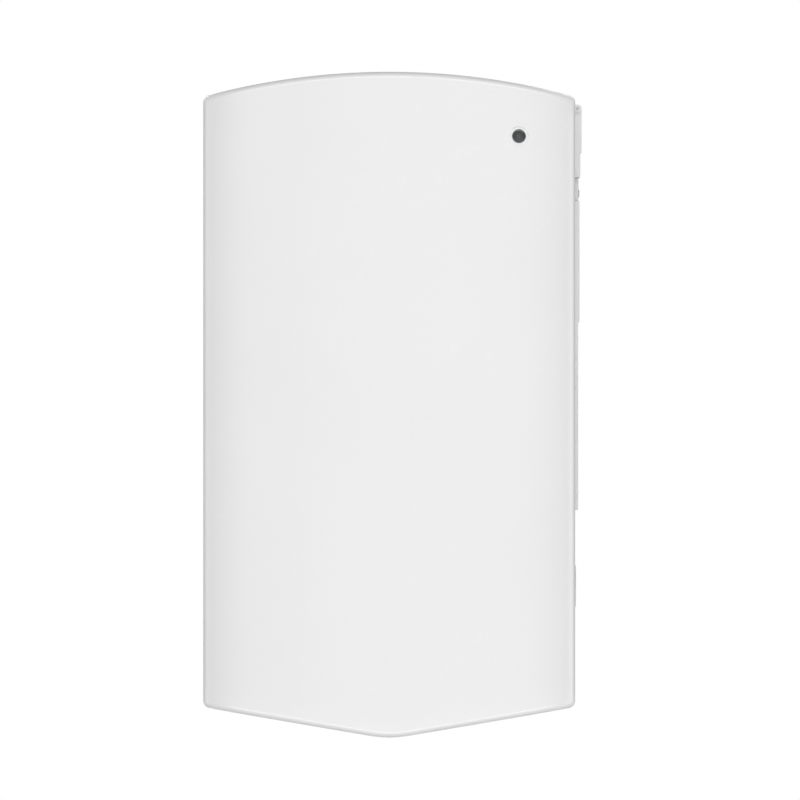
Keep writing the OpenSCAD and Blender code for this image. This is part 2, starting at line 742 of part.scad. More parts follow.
// Plugs between each inverter and the bus cable in the middle
bus_r = 3.6;
bus_y = lid_y1 - 14;
plug_z = 34;
function plug_points() = [for (r = [0, 1]) inv_z(r) + inv_h / 2 + (r * 2 - 1) * plug_z];
module inverter_plugs() {
    x0 = inverter_gap / 2 + 6;
    color("black") for (z = plug_points()) both_sides() difference() {
        box([bus_r + 0.5, x0], about(bus_y, 7), about(z, 9));
        rod_x(bus_y, z, 2.4, [0, x0 + cut], 24);
    }
}

// Bus cable: up between the inverters, then back into the wiring compartment
bus_bend = 22;
bus_z1 = box_z0 + 26;
module ac_bus() {
    color("black") {
        rod_z(0, bus_y, bus_r, [plug_points()[0] - 12, bus_z1 - bus_bend]);
        translate([0, bus_y + bus_bend, bus_z1 - bus_bend]) rotate([90, 0, -90])
            rotate_extrude(angle = 90, $fn = 48) translate([bus_bend, 0]) circle(r = bus_r, $fn = 32);
        rod_y(0, bus_z1, bus_r, [bus_y + bus_bend, box_lid_y0 + 12]);
        for (z = plug_points()) rod_x(bus_y, z, 2.4, [-1, 1] * (inverter_gap / 2 + 6), 24);
        difference() {
            union() {
                rod_y(0, bus_z1, 11, [box_lid_y1, box_lid_y1 - 6], 6);
                rod_y(0, bus_z1, 8, [box_lid_y0 + 3, box_lid_y1 - 16]);
                rod_y(0, bus_z1, 11, [box_lid_y0, box_lid_y0 + 4], 6);
            }
            rod_y(0, bus_z1, bus_r, [box_lid_y0 + 8, box_lid_y1 - 17]);
        }
    }
}

// Wiring compartment with its conduit, shaft and cable holes
module wiring_box() {
    color("dimgray") difference() {
        sheet_box(box_z0, box_z1, box_y1);
        box([-1, 1] * (case_hw + cut), [box_y1 - cut, box_y1 + case_t], [box_z0 - cut, box_z1 + cut]);
        for (p = frame_screws()) if (p[1] > case_z1) frame_hole(p);
        for (x = cable_x()) rod_z(x, cable_y, cable_r + 3, span(box_z0, -cut, case_t + cut));
        rod_x(hub_y, hub_z, hub_hole_r, [-case_hw - cut, -case_hw + case_t + cut], 48);
        rod_x(iso_y, iso_z, iso_shaft_r + 2, [case_hw - case_t - cut, case_hw + cut]);
    }
}
// The frame welded on the front of the wiring box, which takes the screws of its lid
module wiring_box_rim() {
    color("dimgray") difference() {
        box([-1, 1] * case_hw, [box_y1, box_y1 + case_t], [box_z0, box_z1]);
        box([-1, 1] * (case_hw - flange_w), [box_y1 - cut, box_y1 + case_t + cut],
            [box_z0 + flange_w, box_z1 - flange_w]);
        for (p = box_screws()) rod_y(p[0], p[1], screw_r, [box_y1 - cut, box_y1 + case_t + cut], 24);
    }
}
module wiring_box_lid() {
    color("silver") difference() {
        box([-case_hw, case_hw], [box_lid_y0, box_lid_y1], [box_z0, box_z1]);
        for (p = box_screws()) rod_y(p[0], p[1], screw_hole_r, [box_lid_y0 + cut, box_lid_y1 - cut], 24);
        box(about(breaker_x, breaker_w / 2 + 0.5), [box_lid_y0 + cut, box_lid_y1 - cut],
            about(breaker_z, nose_h / 2 + 0.5));
        rod_y(0, bus_z1, 8.2, [box_lid_y0 + cut, box_lid_y1 - cut]);
    }
}

// Top-hat rail on two stands
module din_rail() {
    z = breaker_z;
    color("gainsboro") {
        rail_x = [breaker_x - 60, term_x0 + term_n * term_w + 4];
        box(rail_x, [rail_y, rail_y + 1.2], about(z, 12));
        for (s = [-1, 1]) {
            box(rail_x, [rail_y, rail_y - 7], span(z, s * 11, s * 12.2));
            box(rail_x, span(rail_y, -7, -5.8), span(z, s * 11, s * 17.5));
        }
        for (x = rail_x - [0, 20]) box(span(x, 0, 20), [rail_y + 1.2, case_y0 - case_t], about(z, 10));
    }
}

// Two-pole breaker on the rail, its nose through the lid
module ac_breaker() {
    x = about(breaker_x, breaker_w / 2);
    rail_front = rail_y - 7;
    color("whitesmoke") difference() {
        union() {
            box(x, [rail_front, box_lid_y0 + 8], about(breaker_z, breaker_h / 2));
            box(x, [box_lid_y0 + 9, nose_y], about(breaker_z, nose_h / 2));
        }
        rod_x(toggle_y, breaker_z, toggle_r + part_gap, about(breaker_x, breaker_w / 2 - 4));
        for (s = [-1, 1], dx = [-9, 9]) rod_y(breaker_x + dx, breaker_z + s * (breaker_h / 2 - 9),
            3, span(box_lid_y0, 7, 14), 24);
    }
    color("silver") rod_x(toggle_y, breaker_z, 1.5, about(breaker_x, breaker_w / 2 - 3.9), 24);
}

// The breaker's toggle, up when it is on
toggle_up = 22;
module breaker_toggle() {
    color("black") translate([breaker_x, toggle_y, breaker_z]) difference() {
        union() {
            rod_x(0, 0, toggle_r, [-1, 1] * (breaker_w / 2 - 4 - part_gap));
            rotate([-toggle_up, 0, 0]) translate([-breaker_w / 2 + 6, -toggle_r - 10, -2])
                cube([breaker_w - 12, 12, 4]);
        }
        rod_x(0, 0, 1.5 + run_fit, [-1, 1] * breaker_w / 2, 24);
    }
}

// Row of cable terminals on the same rail
term_n = 6;
term_w = 9;
term_x0 = breaker_x + breaker_w / 2 + 26;
module terminal_blocks() {
    color("lightgray") for (i = [0 : term_n - 1]) difference() {
        box(span(term_x0 + i * term_w, 0, term_w - 0.4), [rail_y - 7, rail_y - 44], about(breaker_z, 22));
        for (s = [-1, 1])
            rod_y(term_x0 + (i + 0.5) * term_w, breaker_z + s * 14, 2.6, [rail_y - 36, rail_y - 45], 24);
    }
}

// Clamp screws of the terminals
module terminal_screws() {
    color("silver") for (i = [0 : term_n - 1], s = [-1, 1]) {
        x = term_x0 + (i + 0.5) * term_w - 0.2;
        difference() {
            rod_y(x, breaker_z + s * 14, 2.3, [rail_y - 36, rail_y - 42], 24);
            box(about(x, 3), [rail_y - 41, rail_y - 43], about(breaker_z + s * 14, 0.4));
        }
    }
}

// Brass earth bar with its screws, low in the compartment
earth_x = [-case_hw + 12, -case_hw + 72];
module earth_bar() {
    y = case_y0 - case_t;
    color("goldenrod") {
        box(earth_x, [y - 8, y - 18], span(box_z0, 20, 30));
        for (x = earth_x + [4, -4]) rod_y(x, box_z0 + 25, 4, [y, y - 9], 24);
        for (i = [0 : 4]) rod_y(earth_x[0] + 10 + i * 10, box_z0 + 25, 3, [y - 18, y - 22], 24);
    }
}

// Communication board on posts at the back of the compartment
module comms_board() {
    y = case_y0 - case_t - 8;
    x = [-case_hw + 8, -case_hw + 74];
    z = span(box_z1, -case_t - 32, -case_t - 2);
    color("darkgreen") {
        box(x, [y, y - 1.6], z);
        box(x + [8, -40], [y - 1.6, y - 4], z + [8, -8]);
        box(x + [40, -8], [y - 1.6, y - 10], z + [10, -6]);
        for (px = x + [4, -4]) rod_y(px, z[0] + 4, 2.5, [case_y0 - case_t, y], 24);
    }
}

// Conduit hub through the left walls, bored for the conduit
module conduit_hub() {
    color("gray") difference() {
        union() {
            rod_x(hub_y, hub_z, hub_r, span(-case_hw, 0, -hub_reach), 64);
            rod_x(hub_y, hub_z, hub_hole_r, span(-case_hw, 0, 18), 64);
        }
        rod_x(hub_y, hub_z, conduit_r, [-case_hw - hub_reach - cut, -case_hw + 18 + cut], 64);
    }
}

// Locknut of the hub, inside the compartment
module hub_locknut() {
    color("silver") difference() {
        rod_x(hub_y, hub_z, hub_hole_r + 4.5, span(-case_hw + case_t, 0, 5), 8);
        rod_x(hub_y, hub_z, hub_hole_r, span(-case_hw + case_t, -cut, 5 + cut), 64);
    }
}

// Isolator behind the right wall, bored for its shaft
iso_x = case_hw - case_t;
module isolator_body() {
    color("black") difference() {
        union() {
            box(span(iso_x, 0, -iso_w), about(iso_y, iso_d / 2), about(iso_z, iso_h / 2));
            box([cable_x()[0] - cable_r - 3.5, iso_x - 8], [cable_y + cable_r + 3.5, iso_y],
                span(iso_z - iso_h / 2, 0, 20));
        }
        rod_x(iso_y, iso_z, iso_shaft_r + run_fit, [iso_x - 22, iso_x + cut]);
    }
}

// Plate behind the handle with the isolator's four screws
plate_t = 2;
plate_hy = iso_d / 2 + 2;
plate_hz = iso_h / 2 + 2;
plate_screw_in = 5;
module isolator_plate() {
    color("gold") difference() {
        union() {
            box(span(case_hw, 0, plate_t), about(iso_y, plate_hy), about(iso_z, plate_hz));
            rod_x(iso_y, iso_z, iso_shaft_r + 5, span(case_hw, 0, plate_t + 1.2), 48);
        }
        rod_x(iso_y, iso_z, iso_shaft_r + run_fit, span(case_hw, -cut, plate_t + 3));
    }
    color("silver") for (y = [-1, 1], z = [-1, 1])
        rod_x(iso_y + y * (plate_hy - plate_screw_in), iso_z + z * (plate_hz - plate_screw_in),
            3.5, span(case_hw + plate_t, 0, 2));
}

// Isolator handle: shaft, disc and grip, turned to on
knob_x0 = case_hw + plate_t + 1.6;
knob_x1 = hw + part_gap + flap_t - flap_step - flap_wall - 0.8;
module isolator_handle() {
    color("crimson") {
        rod_x(iso_y, iso_z, iso_shaft_r, [iso_x - 20, knob_x0 + 1]);
        rod_x(iso_y, iso_z, knob_r, span(knob_x0, 0, 4), 64);
        box([knob_x0 + 3, knob_x1], about(iso_y, 4), about(iso_z, knob_r - 1.5));
    }
}

// Small board with the status lamp, on the compartment's lid
status_t = 1.6;
post_l = 4;
module status_board() {
    y0 = box_lid_y1 - post_l;
    y1 = y0 - status_t;
    color("darkgreen") {
        for (dx = [-10, 10]) rod_y(light_x + dx, light_z, 2.5, [box_lid_y1, y0 - 0.5], 24);
        box(about(light_x, 15), [y0, y1], about(light_z, 12));
    }
    color("white") box(about(light_x, 2.5), [y1, y1 - 2], about(light_z, 2.5));
}

// Light pipe from the lamp to the back of the window
module light_pipe() {
    y0 = box_lid_y1 - post_l - status_t;
    y1 = light_y + lens_t + pipe_gap;
    color("aliceblue") difference() {
        union() {
            rod_y(light_x, light_z, 8, [y0, y0 - 8]);
            rod_y(light_x, light_z, pipe_r, [y0 - 7, y1]);
        }
        rod_y(light_x, light_z, 4, [y0 + cut, y0 - 3], 24);
    }
}

// A bent strap that carries a side cover: two feet and a web
module side_tab(y, z) {
    box([case_hw, case_hw + tab_t], about(y, tab_w / 2), span(z, 0, 26));
    box([case_hw, hw - cover_t], about(y, tab_w / 2), span(z, 0, tab_t));
    difference() {
        box([hw - cover_t - tab_t, hw - cover_t], about(y, tab_w / 2), span(z, 0, 20));
        rod_x(y, z + tab_hole_z, cover_screw_r, [case_hw + tab_t, hw], 24);
    }
}

// The same for the top or bottom cover, drilled for its screw
module edge_tab(y, z0, z1) {
    difference() {
        union() {
            box(about(edge_tab_x, edge_tab_hx), about(y, tab_w / 2), [z0, z0 + tab_t]);
            box(span(edge_tab_x, -edge_tab_hx, tab_t - edge_tab_hx), about(y, tab_w / 2), [z0, z1]);
            box(about(edge_tab_x, edge_tab_hx), about(y, tab_w / 2), [z1 - tab_t, z1]);
        }
        rod_z(edge_tab_x, y, cover_screw_r, [z0 - cut, z1 + cut], 24);
    }
}
tab_gap = 0.4;
top_tab_z = top_z(edge_tab_x + edge_tab_hx, cover_t) - tab_gap;
foot_tab_z = foot_z(edge_tab_x + edge_tab_hx, cover_t) + tab_gap;
top_head_z = top_z(edge_tab_x, cover_head_sink) - tab_gap;
foot_head_z = foot_z(edge_tab_x, cover_head_sink) + tab_gap;

// Brackets that hold the side, top and bottom covers off the boxes
module cover_brackets() {
    color("gainsboro") {
        for (p = side_tabs) both_sides() side_tab(p[0], p[1]);
        for (y = edge_tab_y) both_sides() {
            edge_tab(y, box_z1, top_tab_z);
            edge_tab(y, foot_tab_z, case_z0);
        }
    }
}

// Four studs that the front cover pushes on to
module cover_studs() {
    color("silver") for (z = stud_z) both_sides() {
        rod_y(stud_x, z, stud_r - 0.5, [lid_y1 - 4, lid_y1 - 1], 24);
        rod_y(stud_x, z, stud_r + 1.5, [lid_y1 - 2, lid_y1 - 8], 6);
        rod_y(stud_x, z, stud_r, [lid_y1 - 8, boss_y - grommet_l + 1]);
        translate([stud_x, boss_y - grommet_l + 1, z]) rotate([90, 0, 0])
            cylinder(h = 2, r1 = stud_r, r2 = stud_r - 1, $fn = 32);
    }
}

// Screws of those covers, their heads sunk in them
module side_cover_screws() {
    shank = cover_t - cover_head_sink + tab_t + 1;
    color("silver") {
        for (p = side_tabs) both_sides()
            translate([hw - cover_head_sink, p[0], p[1] + tab_hole_z]) rotate([0, 90, 0])
                screw(cover_screw_r, shank, cover_head_r, cover_head_h);
        for (y = edge_tab_y) both_sides() {
            translate([edge_tab_x, y, top_head_z])
                screw(cover_screw_r, shank + 2, cover_head_r, cover_head_h);
            translate([edge_tab_x, y, foot_head_z]) mirror([0, 0, 1])
                screw(cover_screw_r, shank + 2, cover_head_r, cover_head_h);
        }
    }
}
// Counterbored screw hole along Z through the top or bottom cover
module edge_screw_hole(y, z, s) {
    rod_z(edge_tab_x, y, cover_hole_r, [z, z - s * 12], 24);
    rod_z(edge_tab_x, y, cover_head_r + 0.4, [z, z + s * 12]);
}

// Counterbored screw hole along X through a side cover
module side_screw_hole(y, z) {
    rod_x(y, z, cover_hole_r, [hw - cover_t - cut, hw + cut], 24);
    rod_x(y, z, cover_head_r + 0.2, [hw - cover_head_sink, hw + cut], 32);
}

// A side cover: the band beyond the split lines
module side_shell(s) {
    difference() {
        intersection() {
            cover_band();
            box([s * split_x, s * (hw + cut)], [0, y_cover - lip_l], [z_bot - cut, z_top + cut]);
        }
        for (p = side_tabs) on_side(s) side_screw_hole(p[0], p[1] + tab_hole_z);
    }
}
module on_side(s) {
    if (s > 0) children();
    else mirror([1, 0, 0]) children();
}

// Left cover, with the hole for the conduit hub
module left_side_cover() {
    color("whitesmoke") difference() {
        side_shell(-1);
        rod_x(hub_y, hub_z, hub_r + 1, [-hw - cut, -hw + cover_t + cut], 48);
    }
}

// Right cover, with openings for the isolator, the button, the vent panel and
// the cable cap, and the ears of the flap's hinge
module right_side_cover() {
    color("whitesmoke") difference() {
        union() {
            side_shell(1);
            box([hw - 0.5, hw + pad_t], about(button_y, pad_w / 2), [pad_z0, pad_z1]);
            for (e = ear_y()) {
                rod_y(hinge_x, hinge_z, hinge_r, e, 48);
                box([hw - 0.5, hinge_x], e, about(hinge_z, hinge_r));
            }
        }
        box([hw - cover_t - cut, hw + cut], window_y, about(iso_z, window_hz));
        box([hw - cover_t - cut, hw + cut], [fit_y0 - vent_rim, fit_y1 + vent_rim],
            [vent_z0 + vent_rim, vent_z1 - vent_rim]);
        rod_x(button_y, button_z, button_r + part_gap, [hw - cover_t - cut, hw + pad_t + cut]);
        rod_x(cap_y, cap_z, cap_plug_r + 0.2, [hw - cover_t - cut, hw + cut], 48);
        for (e = ear_y()) rod_y(hinge_x, hinge_z, hinge_pin_r, [e[0] - cut, e[1] + cut]);
    }
}
function ear_y() = [[fit_y1, fit_y1 + ear_t], [fit_y0 - ear_t, fit_y0]];
function flap_y() = [fit_y1 + ear_t + part_gap, fit_y0 - ear_t - part_gap];

// Two pins of the flap's hinge, one in each ear
module flap_pins() {
    l = ear_t + part_gap + pin_in_flap;
    color("silver") {
        rod_y(hinge_x, hinge_z, hinge_pin_r, [fit_y1, fit_y1 + l]);
        rod_y(hinge_x, hinge_z, hinge_pin_r, [fit_y0 - l, fit_y0]);
    }
}

// Flap over the isolator: a tray that hangs from its pins
module isolator_flap() {
    y = flap_y();
    x0 = hw + part_gap;
    x1 = x0 + flap_t;
    color("whitesmoke") difference() {
        union() {
            rod_y(hinge_x, hinge_z, hinge_r, y, 48);
            box([x0, x1], y, [flap_z0 + flap_step_h, hinge_z]);
            box([x0, x1 - flap_step], y, [flap_z0, flap_z0 + flap_step_h + cut]);
        }
        box([x0 - cut, x1 - flap_wall], y + [flap_wall, -flap_wall],
            [flap_z0 + flap_step_h + flap_wall, hinge_z - hinge_r - 1]);
        box([x0 - cut, x1 - flap_step - flap_wall], y + [flap_wall, -flap_wall],
            [flap_z0 + flap_wall, flap_z0 + flap_step_h + flap_wall + cut]);
        rod_y(hinge_x, hinge_z, hinge_pin_r + run_fit, span(y[0], -cut, pin_in_flap + 1));
        rod_y(hinge_x, hinge_z, hinge_pin_r + run_fit, span(y[1], -pin_in_flap - 1, cut));
        rod_y(x1 + 9, flap_z0 - 7, 12, about(cap_y, side_fitting_d * 0.1), 48);
    }
}

// Switch behind the reset button, on the compartment's wall
switch_x = case_hw + 6;
module reset_switch() {
    color("dimgray") {
        box([case_hw, switch_x], about(button_y, 6.5), [box_z0, box_z0 + 14]);
        box([switch_x - cut, switch_x + 1], about(button_y, 3), about(button_z, 3));
    }
    color("gray") box([case_hw, switch_x - 2], about(button_y, 9), [box_z0, box_z0 + 3]);
}

// Reset button: head, stem and a collar that stops it falling out
collar_t = 1.2;
module reset_button() {
    color("lightgray") {
        rod_x(button_y, button_z, button_r, [hw - cover_t - 0.6, hw + pad_t + button_proud]);
        rod_x(button_y, button_z, button_r + 1.6, span(hw - cover_t - part_gap, 0, -collar_t));
        rod_x(button_y, button_z, 2, [switch_x + 1 + button_travel + 0.2, hw - cover_t - 1]);
    }
}

// Louvred panel over the air intake, thinner in its lower part
module vent_panel() {
    n = floor((vent_z1 - vent_z0 - 2 * vent_rim) / slot_pitch);
    color("whitesmoke") difference() {
        union() {
            box(span(hw, 0, vent_t - vent_step), [fit_y0, fit_y1], [vent_z0, vent_z1]);
            box(span(hw, 0, vent_t), [fit_y0, fit_y1], [vent_mid, vent_z1]);
        }
        for (i = [0 : n - 1]) {
            z = vent_z0 + vent_rim + (i + 0.5) * slot_pitch;
            box([hw - cut, hw + vent_t + cut], [fit_y0 - vent_rim - 2, fit_y1 + vent_rim + 2],
                about(z, slot_h / 2));
        }
    }
}

// Cap over the spare cable hole
module side_cap() {
    color("whitesmoke") {
        translate([hw, cap_y, cap_z]) rotate([0, 90, 0]) rotate_extrude($fn = 64) polygon(concat(
            [[0, 0], [cap_r, 0]],
            arc([cap_r - 2, cap_t - 2], 2, 0, 90, 6),
            [[0, cap_t]]
        ));
        difference() {
            rod_x(cap_y, cap_z, cap_plug_r, [hw - cover_t - 3, hw + cut], 48);
            rod_x(cap_y, cap_z, cap_plug_r - 2, [hw - cover_t - 4, hw], 48);
        }
    }
}

// Top cover between the side covers, slotted above the boxes
module top_cover() {
    reach = split_x - split_gap;
    n = floor((2 * reach - 60) / slot_pitch);
    color("whitesmoke") difference() {
        intersection() {
            cover_band();
            box([-reach, reach], [0, y_cover - lip_l], [0, z_top + cut]);
        }
        for (i = [0 : n - 1]) {
            x = (i - (n - 1) / 2) * slot_pitch;
            box(about(x, slot_h / 2), span(slot_y[0], 0, -slot_l), [z_shoulder - 20, z_top + cut]);
        }
        for (y = edge_tab_y) both_sides() edge_screw_hole(y, top_head_z, 1);
    }
}

// Bottom cover between the side covers, with two rows of air slots
module bottom_grille() {
    reach = split_x - split_gap;
    n = floor((2 * reach - 60) / slot_pitch);
    color("whitesmoke") difference() {
        intersection() {
            cover_band();
            box([-reach, reach], [0, y_cover - lip_l], [0, z_bot - cut]);
        }
        for (i = [0 : n - 1], y = slot_y) {
            x = (i - (n - 1) / 2) * slot_pitch;
            box(about(x, slot_h / 2), span(y, 0, -slot_l), [z_bot - cut, z_foot + 20]);
        }
        for (y = edge_tab_y) both_sides() edge_screw_hole(y, foot_head_z, -1);
    }
}

// Solid inside the front cover's outline and plan section, inset by d
module front_solid(d, y_back) {
    h = half_section(d);
    intersection() {
        translate([0, 0, z_bot - cut]) linear_extrude(body_h + 2 * cut) polygon(concat(
            h, [[hw - d, y_back], [d - hw, y_back]],
            [for (i = [len(h) - 1 : -1 : 1]) flip(h[i])]
        ));
        along_y(y_back, y_front - cut) polygon(outline(d));
    }
}

// Domed front cover with four bosses for the studs' grommets
module front_cover() {
    color("whitesmoke") difference() {
        union() {
            difference() {
                front_solid(0, y_cover);
                front_solid(cover_t, y_cover + cut);
            }
            intersection() {
                front_solid(cover_t / 2, y_cover);
                for (z = stud_z) both_sides() rod_y(stud_x, z, boss_r, [boss_y, y_front], 48);
            }
        }
        for (z = stud_z) both_sides() {
            rod_y(stud_x, z, grommet_r - groove_t, [boss_y + cut, boss_y - grommet_l - 3]);
            rod_y(stud_x, z, grommet_r, [boss_y - groove_y[0], boss_y - groove_y[1]]);
        }
        at_light() translate([0, 0, -cover_t - 6])
            cylinder(h = cover_t + 12, r = lens_r + bezel_wall, $fn = 64);
    }
}
// The light's own axes: +Z out of the cover
module at_light() {
    translate([light_x, light_y, light_z]) rotate([0, 0, light_tilt]) rotate([90, 0, 0]) children();
}

// Foam seal inside the front cover, in front of the lips
module cover_seal() {
    color("black") band(cover_t, cover_t + lip_gap + lip_t + 0.2, y_seam - lip_l - 0.6, y_seam - lip_l - 4);
}

// Rubber grommets in the bosses, bored for the studs
module cover_grommets() {
    color("black") for (z = stud_z) both_sides() translate([stud_x, boss_y, z]) rotate([90, 0, 0])
        rotate_extrude($fn = 48) polygon([
            [stud_r + run_fit, -1.5], [boss_r - 1, -1.5], [boss_r - 1, 0],
            [grommet_r - groove_t, 0], [grommet_r - groove_t, groove_y[0]],
            [grommet_r, groove_y[0]], [grommet_r, groove_y[1]],
            [grommet_r - groove_t, groove_y[1]], [grommet_r - groove_t, grommet_l],
            [stud_r + run_fit, grommet_l]
        ]);
}

// Smoked window of the status light
module status_lens() {
    color("darkslategray") at_light() rotate_extrude($fn = 64) polygon(concat(
        [[0, -lens_t], [lens_r, -lens_t], [lens_r, 0]],
        [for (i = [1 : 6]) [lens_r * cos(i * 15), 0.8 * sin(i * 15)]]
    ));
}

// White ring round the window
module lens_bezel() {
    color("white") at_light() rotate_extrude($fn = 64) polygon([
        [lens_r, -lens_t - 0.5], [lens_r + bezel_wall - 0.1, -lens_t - 0.5],
        [lens_r + bezel_wall - 0.1, 0], [bezel_r, 0], [bezel_r, 0.5], [bezel_r - 0.6, 1.1],
        [lens_r + 0.5, 1.1], [lens_r, 0.6]
    ]);
}

wall_bracket();
hanger_frame();
machine_screws();
battery_case();
case_lid();
lid_gaskets();
cells();
cell_spacers();
end_plates();
module_straps();
busbars();
bms_board();
bms_components();
board_standoffs();
main_fuse();
contactor();
dc_cables();
pass_grommets();
breather_plug();
microinverter_1();
microinverter_2();
microinverter_3();
microinverter_4();
inverter_plugs();
ac_bus();
wiring_box();
wiring_box_rim();
wiring_box_lid();
din_rail();
ac_breaker();
terminal_blocks();
terminal_screws();
earth_bar();
comms_board();
conduit_hub();
hub_locknut();
isolator_body();
isolator_plate();
status_board();
light_pipe();
cover_brackets();
cover_studs();
left_side_cover();
right_side_cover();
top_cover();
bottom_grille();
side_cover_screws();
vent_panel();
side_cap();
flap_pins();
reset_switch();
front_cover();
cover_seal();
cover_grommets();
status_lens();
lens_bezel();
isolator_flap();
reset_button();
isolator_handle();
breaker_toggle();
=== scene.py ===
"""Wall battery unit: a domed front cover over a battery case, inverters,
a wiring compartment and an isolator. Metres; the front faces -Y."""
import json
import math

import bmesh
import bpy
from bpy.props import FloatProperty, FloatVectorProperty, IntProperty, PointerProperty
from mathutils import Matrix, Vector

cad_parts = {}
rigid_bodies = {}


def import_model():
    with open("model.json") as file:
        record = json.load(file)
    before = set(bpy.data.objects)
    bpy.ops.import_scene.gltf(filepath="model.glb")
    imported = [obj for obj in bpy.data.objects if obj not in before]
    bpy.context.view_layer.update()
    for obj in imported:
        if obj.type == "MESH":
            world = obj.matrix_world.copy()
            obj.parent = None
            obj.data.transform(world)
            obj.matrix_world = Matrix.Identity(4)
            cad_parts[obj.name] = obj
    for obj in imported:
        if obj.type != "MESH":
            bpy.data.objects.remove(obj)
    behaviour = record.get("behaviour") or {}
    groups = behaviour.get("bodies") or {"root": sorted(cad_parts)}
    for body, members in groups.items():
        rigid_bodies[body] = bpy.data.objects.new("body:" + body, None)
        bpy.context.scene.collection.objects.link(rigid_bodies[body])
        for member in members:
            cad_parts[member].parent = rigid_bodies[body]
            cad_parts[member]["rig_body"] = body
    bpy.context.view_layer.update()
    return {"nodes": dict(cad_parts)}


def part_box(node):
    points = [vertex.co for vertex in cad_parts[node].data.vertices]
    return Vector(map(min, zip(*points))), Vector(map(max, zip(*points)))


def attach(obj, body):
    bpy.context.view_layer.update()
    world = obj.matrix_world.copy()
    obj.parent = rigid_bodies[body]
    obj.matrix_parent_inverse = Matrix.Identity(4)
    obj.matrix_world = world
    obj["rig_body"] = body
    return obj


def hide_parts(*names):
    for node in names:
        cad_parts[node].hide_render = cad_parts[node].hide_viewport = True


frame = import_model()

bl_info = {
    "name": "Wall battery unit",
    "version": (1, 0, 0),
    "blender": (4, 5, 0),
    "location": "View3D > Sidebar > Battery",
    "description": "Builds a wall-hung battery with its covers, inverters and wiring",
    "category": "Object",
}

COVER_LOW, COVER_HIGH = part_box("front_cover")
LENS_LOW, LENS_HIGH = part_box("status_lens")
VENT_LOW, VENT_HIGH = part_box("vent_panel")
CAP_LOW, CAP_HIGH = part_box("side_cap")
BUTTON_LOW, BUTTON_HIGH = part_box("reset_button")
HANDLE_LOW, HANDLE_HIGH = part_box("isolator_handle")
GROMMET_LOW, GROMMET_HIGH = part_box("cover_grommets")


def length(name, default, description):
    """A size in metres for the panel."""
    return FloatProperty(
        name=name, description=description, default=default, min=0.0, unit="LENGTH", precision=4)


def angle(name, degrees, description):
    """An angle for the panel."""
    return FloatProperty(name=name, description=description, default=math.radians(degrees), unit="ROTATION")


def colour(name, default, description):
    """A colour for the panel."""
    return FloatVectorProperty(
        name=name, description=description, default=default, size=3, min=0.0, max=1.0, subtype="COLOR")


class CoverSizes(bpy.types.PropertyGroup):
    """Sizes of the domed front cover and its neighbours."""
    half_width: length("Half width", COVER_HIGH.x, "Half the width across the cover")
    crown: length("Crown", COVER_HIGH.z, "Height of the middle of the top edge above the origin")
    tip: length("Tip", -COVER_LOW.z, "Depth of the tip of the bottom edge below the origin")
    depth: length("Depth", -COVER_LOW.y, "Distance from the wall to the middle of the front")
    rear: length("Rear edge", -COVER_HIGH.y, "Distance from the wall to the rear edge")
    wall: length("Wall", 0.003, "Wall of the cover")
    rise: length("Top rise", 0.024, "Height of the crown above the top corners")
    foot_slope: angle("Foot slope", 9.5, "Slope of the two halves of the bottom edge")
    tip_radius: length("Tip radius", 0.110, "Radius of the tip of the bottom edge")
    corner_radius: length("Corner radius", 0.007, "Radius of the corners seen from the front")
    dome_radius: length("Dome radius", 0.760, "Radius of the front in plan")
    shoulder_radius: length("Shoulder radius", 0.100, "Radius of the sides of the front in plan")
    shoulder_slope: angle("Shoulder slope", 38.0, "Slope of the front where a shoulder meets the rim")
    rim_radius: length("Rim radius", 0.0075, "Radius of the vertical front edges")
    edge_radius: length("Edge radius", 0.0062, "Radius of the top and bottom front edges")
    boss_radius: length("Boss radius", 0.0075, "Outside of the sockets for the studs")
    boss_rear: length("Boss rear", 0.25121, "Distance from the wall to the open ends of the sockets")
    rib: length("Rib", 0.0016, "Thickness of the ribs that steady the sockets")


class DetailSizes(bpy.types.PropertyGroup):
    """Sizes of the small pieces."""
    light_in: length("Light in", 0.0565, "Distance of the status light from the right side")
    lens_radius: length("Lens radius", 0.0068, "Radius of the status light's window")
    lens_dome: length("Lens dome", 0.0008, "How far the window bulges")
    ring_width: length("Ring width", 0.0028, "Width of the ring round the window")
    ring_height: length("Ring height", 0.0011, "How far the ring stands out")
    cover_edge: length("Cover edge", 0.0007, "Rounding of the edges of the covers")
    sheet_edge: length("Sheet edge", 0.0004, "Rounding of the edges of sheet metal")
    casting_edge: length("Casting edge", 0.0009, "Rounding of the edges of castings")
    flap_edge: length("Flap edge", 0.0050, "Rounding of the outer edges of the flap")
    vent_edge: length("Vent edge", 0.0038, "Rounding of the outer edges of the vent panel")
    blade: length("Blade", 0.0012, "Thickness of the blades in the vent panel")
    blade_slope: angle("Blade slope", 32.0, "Slope of the blades in the vent panel")
    slots: IntProperty(name="Slots", description="Slots in the vent panel", default=22, min=1)
    slot_pitch: length("Slot pitch", 0.013, "Distance between the slots of the vent panel")


